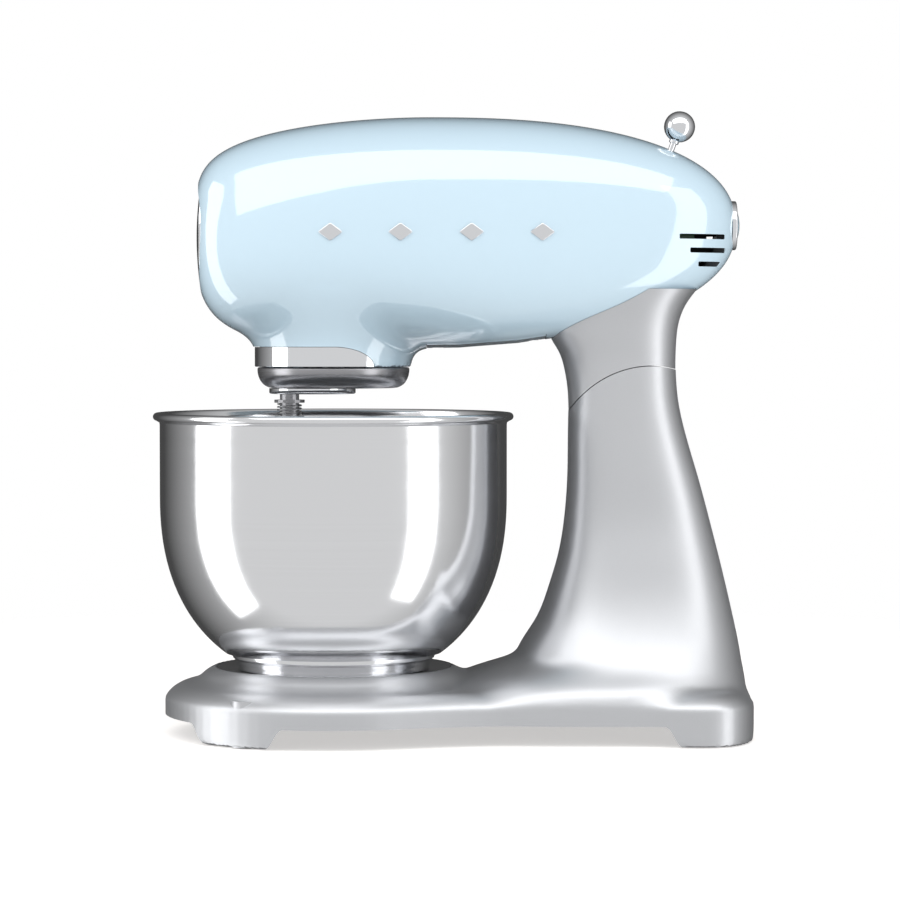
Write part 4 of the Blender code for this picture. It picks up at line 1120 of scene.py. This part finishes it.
@dataclass
class Neck:
    """The casting between the column and the head, with its tongue round the hinge pin."""

    form: Superloft = Superloft((
        (192.0, 72.2, 137.4, 33.4),
        (212.0, 71.5, 137.4, 33.0),
        (223.5, 69.6, 137.4, 32.8),
        (235.0, 65.6, 137.6, 33.0),
        (242.0, 61.5, 138.0, 33.6),
        (250.0, 60.0, 139.0, 34.2),
        (257.0, 60.0, 141.0, 35.0),
        (264.0, 60.0, 144.5, 36.0),
        (272.0, 60.0, 150.5, 37.0),
    ))
    pivot: Point2 = (121.35, 166.9)
    heights: Point2 = (192.0, 272.0)
    parting_r: float = 58.7
    wall: float = 4.0
    tongue_half: float = 8.5
    tongue_r: float = 12.5
    bush_r: float = 7.8
    bush_half: float = 12.0
    latch: Point2 = (104.0, 248.0)
    latch_pin_r: float = 2.5
    latch_room: tuple[Point3, Point3] = ((92, 8.9, 195), (108, 14.6, 246))
    gap: float = 0.3

    def floor(self, radius: float) -> bmesh.types.BMesh:
        """The round space under the neck.

        Args:
            radius: Its radius about the pivot.

        Returns:
            The space as a closed body.
        """
        px, pz = self.pivot
        return Maker.slab(arc(px, pz, radius, 180, 0, 96) + [(px + 120, pz - 60), (px - 260, pz - 60)],
                          -60, 60, ACROSS)

    def build(self, head: HeadForm) -> None:
        """Loft the neck, hollow it and cut it to the column and the head.

        Args:
            head: The form that it carries.
        """
        px, pz = self.pivot
        body = self.form.blank(list(np.linspace(*self.heights, 33)), 0.0, 128)
        room = self.form.blank(list(np.linspace(*self.heights, 9)), self.wall, 48)
        room = Maker.carve(room, [(Carve.CUT, self.floor(self.parting_r + self.wall))])
        side = arc(px, pz, self.parting_r + 2.0, 125, 111, 8) + arc(px, pz, self.tongue_r, 20, -200, 32)
        tongue = Maker.slab(side, -self.tongue_half, self.tongue_half, ACROSS)
        lx, lz = self.latch
        steps = [
            (Carve.CUT, room),
            (Carve.CUT, self.floor(self.parting_r)),
            (Carve.CUT, head.blank(self.gap)),
            (Carve.ADD, tongue),
            (Carve.CUT, Maker.rod(self.bush_r, (px, self.bush_half, pz), (px, -self.bush_half, pz), 48)),
            (Carve.CUT, Maker.block(*self.latch_room)),
            (Carve.CUT, Maker.rod(self.latch_pin_r, (lx, 40, lz), (lx, 20, lz))),
        ]
        Maker.keep("neck_casting_fine", Maker.carve(body, steps), SILVER, "head", ["neck_casting"])


@dataclass
class Head:
    """The enamelled shell with its polished band, nose disc, badges and button."""

    form: HeadForm = HeadForm()
    wall: float = 3.0
    hub_x: float = -72.1
    hub_r: float = 47.5
    hub_bottom: float = 224.7
    ring_gear_r: float = 43.6
    band_top: float = 237.0
    band_reach: float = 24.0      # how far back from x = -70 the band's side curves down
    cap_z: float = 303.0
    cap_r: float = 36.0
    cap_back_x: float = -149.7
    button_z: float = 311.0
    button_r: float = 11.2
    vents: tuple[Point3, ...] = (
        (137.4, 165.9, 302.0), (144.2, 166.7, 293.8), (149.5, 164.5, 285.5))
    vent_height: float = 3.0
    rib: tuple[Point2, ...] = (       # side view of the thin rib that stands behind the vents
        (136, 307), (156.5, 307), (156.5, 298.5), (171, 298.5), (169.5, 294), (166.5, 288.5), (163, 283),
        (136, 283))
    rib_half: float = 0.8
    hub_blend: float = 13.0
    hub_top: float = 262.0
    ring_room: Point2 = (15.3, 171.2)      # radius and front of the button ring's recess
    lever_slot: tuple[Point3, Point3] = ((108.5, -2.6, 345), (139.5, 2.6, 385))
    neck_opening: tuple[Point3, Point3] = ((86, -20, 235), (134, 20, 285))
    cover_opening: tuple[Point3, Point3] = ((-15, -24, 225), (58, 24, 262))
    gap: float = 0.3
    badge_x: tuple[float, ...] = (-71.8, -30.0, 12.3, 54.6)
    badge_z: float = 305.5
    badge_half: Point2 = (7.6, 5.6)

    def field(self, points: np.ndarray) -> np.ndarray:
        """Distances to the shell's outer skin: the head's form flowing into the hub."""
        body = distance(self.form.field, points)
        side = np.hypot(points[:, 0] - self.hub_x, points[:, 1]) - self.hub_r
        hub = np.maximum(np.maximum(side, self.hub_bottom - points[:, 2]), points[:, 2] - self.hub_top)
        return soft_union(body, hub, self.hub_blend)

    def band_side(self, shrink: float = 0.0) -> bmesh.types.BMesh:
        """The band's side view as a slab across the hub: level, then curving down at the back.

        Args:
            shrink: How much smaller it is all round.

        Returns:
            The slab.
        """
        reach = self.band_reach - shrink
        rise = (self.band_top - shrink - self.hub_bottom) / reach
        curve = [(x, self.hub_bottom + (z - self.hub_bottom) * rise)
                 for x, z in arc(-70.0, self.hub_bottom, reach, 90, 0, 24)]
        outline = [(-140, 215), (-140, self.band_top - shrink)] + curve + [(-46 - shrink, 215)]
        return Maker.slab(outline, -65, 65, ACROSS)

    def build(self) -> None:
        """Build the shell and its trim."""
        self.build_shell()
        self.build_band()
        self.build_cap()
        self.build_button()
        self.build_badges()

    def build_shell(self) -> None:
        """Cast the shell's skin, then hollow it and cut its openings."""
        hub = Maker.rod(self.hub_r, (self.hub_x, 0, self.hub_bottom), (self.hub_x, 0, self.hub_top), 96)
        skin = Maker.cast(Maker.join(self.form.blank(), hub), self.field, 2.0)
        band_room = Maker.turned([(44.9, 240), (60, 240), (60, 215), (44.9, 215)], (self.hub_x, 0, 0))
        band_room = Maker.carve(band_room, [(Carve.TRIM, self.band_side())])
        ring_r, ring_x = self.ring_room
        steps = [
            (Carve.CUT, self.form.blank(-self.wall, (5.0, 4.0), 64)),
            (Carve.CUT, Maker.rod(self.ring_gear_r + 0.4, (self.hub_x, 0, 215), (self.hub_x, 0, 265), 96)),
            (Carve.CUT, band_room),
            (Carve.CUT, Maker.rod(self.cap_r + self.gap, (-170, 0, self.cap_z),
                                  (self.cap_back_x + self.gap, 0, self.cap_z), 96)),
            (Carve.CUT, Maker.rod(8.3, (-170, 0, self.cap_z), (-130, 0, self.cap_z))),
            (Carve.CUT, Maker.rod(ring_r, (ring_x, 0, self.button_z), (ring_x + 20, 0, self.button_z), 64)),
            (Carve.CUT, Maker.rod(self.button_r + 0.4, (140, 0, self.button_z), (180, 0, self.button_z), 64)),
            (Carve.CUT, Maker.block(*self.lever_slot, 1.0)),
            (Carve.CUT, Maker.block(*self.neck_opening)),
            (Carve.CUT, Maker.block(*self.cover_opening)),
        ]
        for front, rear, low in self.vents:
            for near, far in ((17, 70), (-70, -17)):
                steps.append((Carve.CUT, Maker.block((front, near, low),
                                                        (rear, far, low + self.vent_height), 0.6)))
        steps.append((Carve.ADD, Maker.slab(self.rib, -self.rib_half, self.rib_half, ACROSS)))
        shell = Maker.carve(skin, steps)
        # Faces more than 1.2 mm inside the skin take the near-black lining: painted shade for the shell's
        # inside.
        shade_lined = self.field(np.array([face.calc_center_median() for face in shell.faces])) < -1.2
        for face, inner in zip(shell.faces, shade_lined):
            face.material_index = int(inner)
        Maker.keep("head_housing_fine", shell, ENAMEL, "head", ["head_housing"], lining=INSIDE_SHADE_LINING)

    def build_band(self) -> None:
        """Turn the polished band and trim it to its side view."""
        ring = Maker.turned([(45.2, 245), (48.2, 245), (48.2, 225.1), (47.8, 224.7), (45.2, 224.7)],
                            (self.hub_x, 0, 0), steps=144)
        ring = Maker.carve(ring, [(Carve.TRIM, self.band_side(0.3))])
        Maker.keep("hub_band_fine", ring, MIRROR, "head", ["hub_ring"])

    def build_cap(self) -> None:
        """Turn the polished nose disc, slightly crowned, with the peg behind it."""
        disc = [(0, -139), (8, -139), (8, self.cap_back_x), (self.cap_r, self.cap_back_x),
                (self.cap_r, -151.6), (self.cap_r - 0.25, -152.0), (self.cap_r - 0.8, -152.25)]
        disc += [(r, -155.3 + (r / 41.0) ** 2 * 4.0) for r in (33.0, 28.0, 22.0, 16.0, 10.0, 5.0, 0.0)]
        Maker.keep("front_cap_fine", Maker.turned(disc, (0, 0, self.cap_z), ALONG_X, 128), MIRROR, "head",
                   ["front_cap"])

    def build_button(self) -> None:
        """Turn the release button's ring and its domed button with the rod behind it."""
        bore = self.button_r + 0.4
        ring = [(bore, 171.5), (bore, 174.1), (bore + 0.5, 174.6), (14.0, 174.6)]
        ring += arc(14.0, 173.6, 1.0, 90, 0, 5)[1:] + [(15.0, 171.5)]
        Maker.keep("button_ring_fine", Maker.turned(ring, (0, 0, self.button_z), ALONG_X, 64), MIRROR, "head",
                   ["button_ring"])
        dome = [(0, 176.6), (3.0, 176.5), (6.0, 176.0), (8.5, 175.25), (10.2, 174.3), (10.9, 173.7),
                (self.button_r, 173.0), (self.button_r, 162), (0, 162)]
        button = Maker.turned(dome, (0, 0, self.button_z), ALONG_X, 64)
        rod = Maker.rod(3.0, (150, 8, self.button_z), (165, 8, self.button_z))
        Maker.keep("release_button_fine", Maker.carve(button, [(Carve.ADD, rod)]), ENAMEL, "release_button",
                   ["release_button"])

    def build_badges(self) -> None:
        """Lay four plain raised lozenges on each side, following the skin."""
        half_x, half_z = self.badge_half
        for side, side_name in ((1, "left"), (-1, "right")):
            for number, x in enumerate(self.badge_x, 1):
                bm = bmesh.new()
                corners = [(half_x, 0), (0, half_z), (-half_x, 0), (0, -half_z)]
                face = bm.faces.new([bm.verts.new((dx, 0, dz)) for dx, dz in corners])
                bmesh.ops.bevel(bm, geom=list(face.verts), offset=1.2, offset_type="OFFSET", segments=4,
                                profile=0.5, affect="VERTICES", clamp_overlap=True, material=-1)
                grown = bmesh.ops.extrude_face_region(bm, geom=list(bm.faces))["geom"]
                bmesh.ops.translate(bm, vec=(0, 1.6, 0),
                                    verts=[v for v in grown if isinstance(v, bmesh.types.BMVert)])
                bmesh.ops.recalc_face_normals(bm, faces=bm.faces)
                Maker.soften(bm, 0.45, 50.0, 3, lambda middle: middle.y > 0.8)
                for vert in bm.verts:
                    out = self.form.side(x + vert.co.x, self.badge_z + vert.co.z) - 0.6 + vert.co.y
                    vert.co = (x + vert.co.x, side * out, self.badge_z + vert.co.z)
                bmesh.ops.recalc_face_normals(bm, faces=bm.faces)
                Maker.keep(f"badge_lozenge_{side_name}_{number}", bm, MIRROR, "head")


@dataclass
class Planetary:
    """The turning hub under the head, with its cap and the beater's spring and washer."""

    x: float = -72.1
    drive_bore_r: float = 7.3
    beater_x: float = -99.1
    beater_boss_r: float = 11.0
    beater_bore_r: float = 6.2
    cap_x: float = -85.0
    cap_r: float = 26.5
    coil_r: float = 7.1
    wire_r: float = 0.55
    coil_turns: float = 3.5
    coil_heights: Point2 = (195.2, 201.8)
    coil_steps: int = 112

    def build(self) -> None:
        """Turn the hub, its cap and the beater drive."""
        side = [(43.0, 217.0), (43.6, 224.3), (45.7, 224.3), (46.2, 224.1), (46.55, 223.5), (46.6, 222.6),
                (46.4, 220.6), (46.0, 218.9), (45.3, 217.1), (44.3, 215.4), (43.0, 213.9), (41.4, 212.8),
                (39.6, 212.0), (37.6, 211.7), (0, 211.7)]
        hub = Maker.turned([(0, 222.5), (14, 222.5), (14, 217.0)] + side, (self.x, 0, 0), steps=144)
        bx = self.beater_x
        hub = Maker.carve(hub, [
            (Carve.ADD, Maker.rod(self.beater_boss_r, (bx, 0, 213), (bx, 0, 222.5))),
            (Carve.CUT, Maker.rod(self.drive_bore_r, (self.x, 0, 218), (self.x, 0, 238))),
            (Carve.CUT, Maker.rod(self.beater_bore_r, (bx, 0, 200), (bx, 0, 240))),
        ])
        Maker.keep("planetary_hub_fine", hub, GRAPHITE, "planetary", ["planetary_hub"])

        rim = self.cap_r
        cap = Maker.turned([(0, 211.4), (rim, 211.4), (rim, 209.0), (rim - 0.3, 208.4), (rim - 0.9, 208.1),
                            (0, 208.1)], (self.cap_x, 0, 0), steps=96)
        cap = Maker.carve(cap, [(Carve.CUT, Maker.rod(self.beater_bore_r, (bx, 0, 200), (bx, 0, 220)))])
        Maker.keep("planetary_cap_fine", cap, MIRROR, "planetary", ["planetary_cap"])
        self.build_spring()
        self.build_washer()

    def build_spring(self) -> None:
        """Sweep the wire of the coil spring round the beater's shaft."""
        low, high = self.coil_heights
        bm = bmesh.new()
        place = Matrix.Translation((self.coil_r, 0, low)) @ ACROSS
        ring = bmesh.ops.create_circle(bm, segments=10, radius=self.wire_r, matrix=place)["verts"]
        edges = bm.edges[:]
        bm.faces.new(ring)
        bmesh.ops.spin(bm, geom=ring + edges, cent=(0, 0, 0), axis=(0, 0, 1),
                       angle=2 * math.pi * self.coil_turns, steps=self.coil_steps,
                       dvec=(0, 0, (high - low) / self.coil_steps), use_merge=False)
        bmesh.ops.holes_fill(bm, edges=[e for e in bm.edges if e.is_boundary], sides=0)
        bmesh.ops.recalc_face_normals(bm, faces=bm.faces)
        bm.transform(Matrix.Translation((self.beater_x, 0, 0)))
        spring = Maker.keep("beater_spring_fine", bm, STEEL, "beater_drive", ["beater_spring"])
        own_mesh(spring)

    def build_washer(self) -> None:
        """Turn the washer under the spring."""
        washer = [(6.3, 192.9), (6.6, 192.6), (9.0, 192.6), (9.3, 192.9), (9.3, 194.1), (9.0, 194.4),
                  (6.6, 194.4), (6.3, 194.1)]
        Maker.keep("spring_washer_fine", Maker.turned(washer, (self.beater_x, 0, 0), steps=64), MIRROR,
                   "spring_washer", ["spring_washer"])


@dataclass
class SpeedLever:
    """The thin lever on the back of the head, with its ball knob."""

    pivot: Point2 = (119.4, 315.0)
    knob: Point2 = (139.9, 371.4)
    pivot_r: float = 5.0
    pivot_half: float = 6.0
    knob_r: float = 9.5
    stem_r: float = 1.9
    ferrule_wall: float = 1.1

    def build(self) -> None:
        """Turn the stem with its hub, and the ball with the ferrule under it."""
        px, pz = self.pivot
        lean = math.atan2(self.knob[0] - px, self.knob[1] - pz)
        length = math.dist(self.knob, self.pivot)
        tilt = Matrix.Rotation(lean, 4, "Y")
        stem = Maker.turned([(0, 0), (self.stem_r, 0), (self.stem_r, length - 3.5), (0, length - 3.5)],
                            (px, 0, pz), tilt, 40)
        stem = Maker.carve(stem, [(Carve.ADD, Maker.rod(self.pivot_r, (px, self.pivot_half, pz),
                                                         (px, -self.pivot_half, pz)))])
        Maker.keep("speed_lever_stem_fine", stem, MIRROR, "speed_lever", ["speed_lever_stem"])
        ferrule = self.stem_r + self.ferrule_wall
        start = math.degrees(math.acos(ferrule / self.knob_r))
        ball = [(self.stem_r + 0.1, -self.knob_r - 1.2), (ferrule - 0.2, -self.knob_r - 1.2),
                (ferrule, -self.knob_r - 1.0)]
        ball += arc(0.0, 0.0, self.knob_r, -start, 90, 40)
        ball[-1] = (0.0, self.knob_r)
        profile = [(0.0, -3.0), (self.stem_r + 0.1, -3.0)] + ball
        knob = Maker.turned(profile, (self.knob[0], 0, self.knob[1]), tilt, 72)
        Maker.keep("speed_lever_knob_fine", knob, MIRROR, "speed_lever", ["speed_lever_knob"])


# Inner pieces -----------------------------------------------------------------------------------

INNER_FINISHES: dict[str, Finish] = {
    "bottom_plate": PLASTIC,
    "bottom_plate_screw_1": STEEL, "bottom_plate_screw_2": STEEL,
    "bottom_plate_screw_3": STEEL, "bottom_plate_screw_4": STEEL,
    "bowl_seat_screw_1": STEEL, "bowl_seat_screw_2": STEEL, "bowl_seat_screw_3": STEEL,
    "hinge_fork": STEEL, "hinge_pin": STEEL, "latch_catch": STEEL,
    "hinge_bush_left": BRASS, "hinge_bush_right": BRASS,
    "head_bottom_cover": ENAMEL, "cover_screw_front": STEEL, "cover_screw_rear": STEEL,
    "latch_pin": STEEL, "latch_hook": STEEL,
    "motor_stator": CORE_STEEL, "field_coil_lower": COPPER, "field_coil_upper": COPPER,
    "motor_front_bracket": STEEL, "motor_rear_bracket": STEEL,
    "armature_bearing_front": STEEL, "armature_bearing_rear": STEEL,
    "carbon_brush_left": RUBBER, "carbon_brush_right": RUBBER,
    "control_board": BOARD, "gearbox_frame": STEEL, "drive_shaft_bush": BRASS, "ring_gear": STEEL,
    "armature_shaft": STEEL, "armature_core": CORE_STEEL, "commutator": COPPER, "cooling_fan": PLASTIC,
    "layshaft": STEEL, "reduction_gear": BRASS, "drive_shaft": STEEL, "crown_gear": STEEL,
    "beater_shaft": GRAPHITE,
}


def dress_frame() -> None:
    """Give every piece of the frame that stays in view its own finish."""
    for name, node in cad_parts.items():
        finish = INNER_FINISHES.get(name)
        if finish is None:
            continue
        node.data.materials.clear()
        node.data.materials.append(finish.material())
        LOG.info("%s dressed in %s", name, finish.name)


# Studio -----------------------------------------------------------------------------------------

@dataclass(frozen=True)
class Softbox:
    """One soft box of the studio, in metres."""

    name: str
    place: Point3
    target: Point3
    size: Point2                  # width and height
    watts: float

    def hang(self) -> None:
        """Hang the box and aim it."""
        data = bpy.data.lights.new(self.name, "AREA")
        data.shape = "RECTANGLE"
        data.size, data.size_y = self.size
        data.energy = self.watts
        light = bpy.data.objects.new(self.name, data)
        light.location = self.place
        way = Vector(self.target) - Vector(self.place)
        light.rotation_euler = way.to_track_quat("-Z", "Y").to_euler()
        bpy.context.scene.collection.objects.link(light)


@dataclass
class Studio:
    """A pale floor, soft boxes and a long lens, all in metres."""

    distance: float = 2.05
    height: float = 0.244
    sideways: float = -0.0006
    pitch: float = 1.97
    lens: float = 133.6
    boxes: tuple[Softbox, ...] = (          # a tall one at each side, a wide one overhead
        Softbox("left_box", (-1.60, -0.20, -0.10), (0.0, 0.0, -0.10), (0.80, 2.80), 14.0),
        Softbox("right_box", (1.39, -0.80, -0.10), (0.0, 0.0, -0.10), (0.62, 2.80), 8.5),
        Softbox("top_box", (0.0, -0.85, 1.30), (0.0, 0.0, 0.30), (2.60, 0.90), 13.0),
    )
    floor_r: float = 1.0
    floor_fade: Point2 = (0.42, 0.95)       # where the floor starts to fade, and where it is gone
    floor_colour: Point3 = (0.90, 0.88, 0.86)
    floor_glow: Point3 = (1.0, 0.985, 0.97)
    floor_glow_strength: float = 0.52
    room_fade: Point2 = (-0.35, 0.85)       # the directions, by their Y, between which the room darkens
    room_strength: Point2 = (0.95, 0.08)    # in front and behind

    def build(self) -> None:
        """Set up the camera, the floor, the lights and the world."""
        self.build_camera()
        self.build_floor()
        for box in self.boxes:
            box.hang()
        self.build_world()

    def build_camera(self) -> None:
        """Aim the camera square at the machine's side, a little above its middle."""
        data = bpy.data.cameras.new("camera")
        data.lens = self.lens
        data.sensor_width = 36.0
        data.clip_end = 50.0
        camera = bpy.data.objects.new("camera", data)
        camera.location = (self.sideways, -self.distance, self.height)
        camera.rotation_euler = (math.radians(90.0 - self.pitch), 0.0, 0.0)
        bpy.context.scene.collection.objects.link(camera)
        bpy.context.scene.camera = camera

    def build_floor(self) -> None:
        """Lay a wide pale floor."""
        bm = bmesh.new()
        bmesh.ops.create_circle(bm, cap_ends=True, segments=96, radius=self.floor_r)
        mesh = bpy.data.meshes.new("floor")
        bm.to_mesh(mesh)
        bm.free()
        floor = bpy.data.objects.new("floor", mesh)
        floor.location.z = -0.0002
        mesh.materials.append(self.floor_material())
        bpy.context.scene.collection.objects.link(floor)

    def floor_material(self) -> bpy.types.Material:
        """A pale matt floor that fades into the white of the room.

        Returns:
            The material.
        """
        material = bpy.data.materials.new("pale_floor")
        material.use_nodes = True
        nodes = material.node_tree.nodes
        links = material.node_tree.links
        shader = nodes["Principled BSDF"]
        shader.inputs["Base Color"].default_value = (*self.floor_colour, 1.0)
        shader.inputs["Roughness"].default_value = 0.8
        shader.inputs["Emission Color"].default_value = (*self.floor_glow, 1.0)
        shader.inputs["Emission Strength"].default_value = self.floor_glow_strength
        place = nodes.new("ShaderNodeTexCoord")
        away = nodes.new("ShaderNodeVectorMath")
        away.operation = "LENGTH"
        links.new(place.outputs["Object"], away.inputs[0])
        fade = nodes.new("ShaderNodeMapRange")
        fade.interpolation_type = "SMOOTHSTEP"
        fade.inputs["From Min"].default_value, fade.inputs["From Max"].default_value = self.floor_fade
        fade.inputs["To Min"].default_value = 1.0
        fade.inputs["To Max"].default_value = 0.0
        links.new(away.outputs["Value"], fade.inputs["Value"])
        ray = nodes.new("ShaderNodeLightPath")
        seen = nodes.new("ShaderNodeMath")
        seen.operation = "SUBTRACT"
        seen.use_clamp = True
        links.new(fade.outputs["Result"], seen.inputs[0])
        links.new(ray.outputs["Is Glossy Ray"], seen.inputs[1])
        links.new(seen.outputs["Value"], shader.inputs["Alpha"])
        return material

    def build_world(self) -> None:
        """White to the lens, and a grey room that is lighter in front than behind for everything else."""
        world = bpy.data.worlds.new("studio")
        world.use_nodes = True
        nodes = world.node_tree.nodes
        links = world.node_tree.links
        nodes.clear()
        out = nodes.new("ShaderNodeOutputWorld")
        mix = nodes.new("ShaderNodeMixShader")
        rays = nodes.new("ShaderNodeLightPath")
        white = nodes.new("ShaderNodeBackground")
        white.inputs["Color"].default_value = (1.0, 1.0, 1.0, 1.0)
        room = nodes.new("ShaderNodeBackground")
        place = nodes.new("ShaderNodeTexCoord")
        apart = nodes.new("ShaderNodeSeparateXYZ")
        shade = nodes.new("ShaderNodeMapRange")
        shade.inputs["From Min"].default_value, shade.inputs["From Max"].default_value = self.room_fade
        shade.inputs["To Min"].default_value, shade.inputs["To Max"].default_value = self.room_strength
        links.new(place.outputs["Generated"], apart.inputs["Vector"])
        links.new(apart.outputs["Y"], shade.inputs["Value"])
        links.new(shade.outputs["Result"], room.inputs["Strength"])
        links.new(rays.outputs["Is Camera Ray"], mix.inputs["Fac"])
        links.new(room.outputs["Background"], mix.inputs[1])
        links.new(white.outputs["Background"], mix.inputs[2])
        links.new(mix.outputs["Shader"], out.inputs["Surface"])
        bpy.context.scene.world = world
        bpy.context.scene.view_settings.view_transform = "Standard"


# Main -------------------------------------------------------------------------------------------


def main() -> None:
    """Build every sub-assembly, dress the frame and set up the studio."""
    logging.basicConfig(level=logging.INFO, format="%(name)s: %(message)s")
    Studio().build()
    head = Head()
    head.build()
    Neck().build(head.form)
    Stand().build()
    Bowl().build()
    Planetary().build()
    SpeedLever().build()
    dress_frame()


if __name__ == "__main__":
    main()
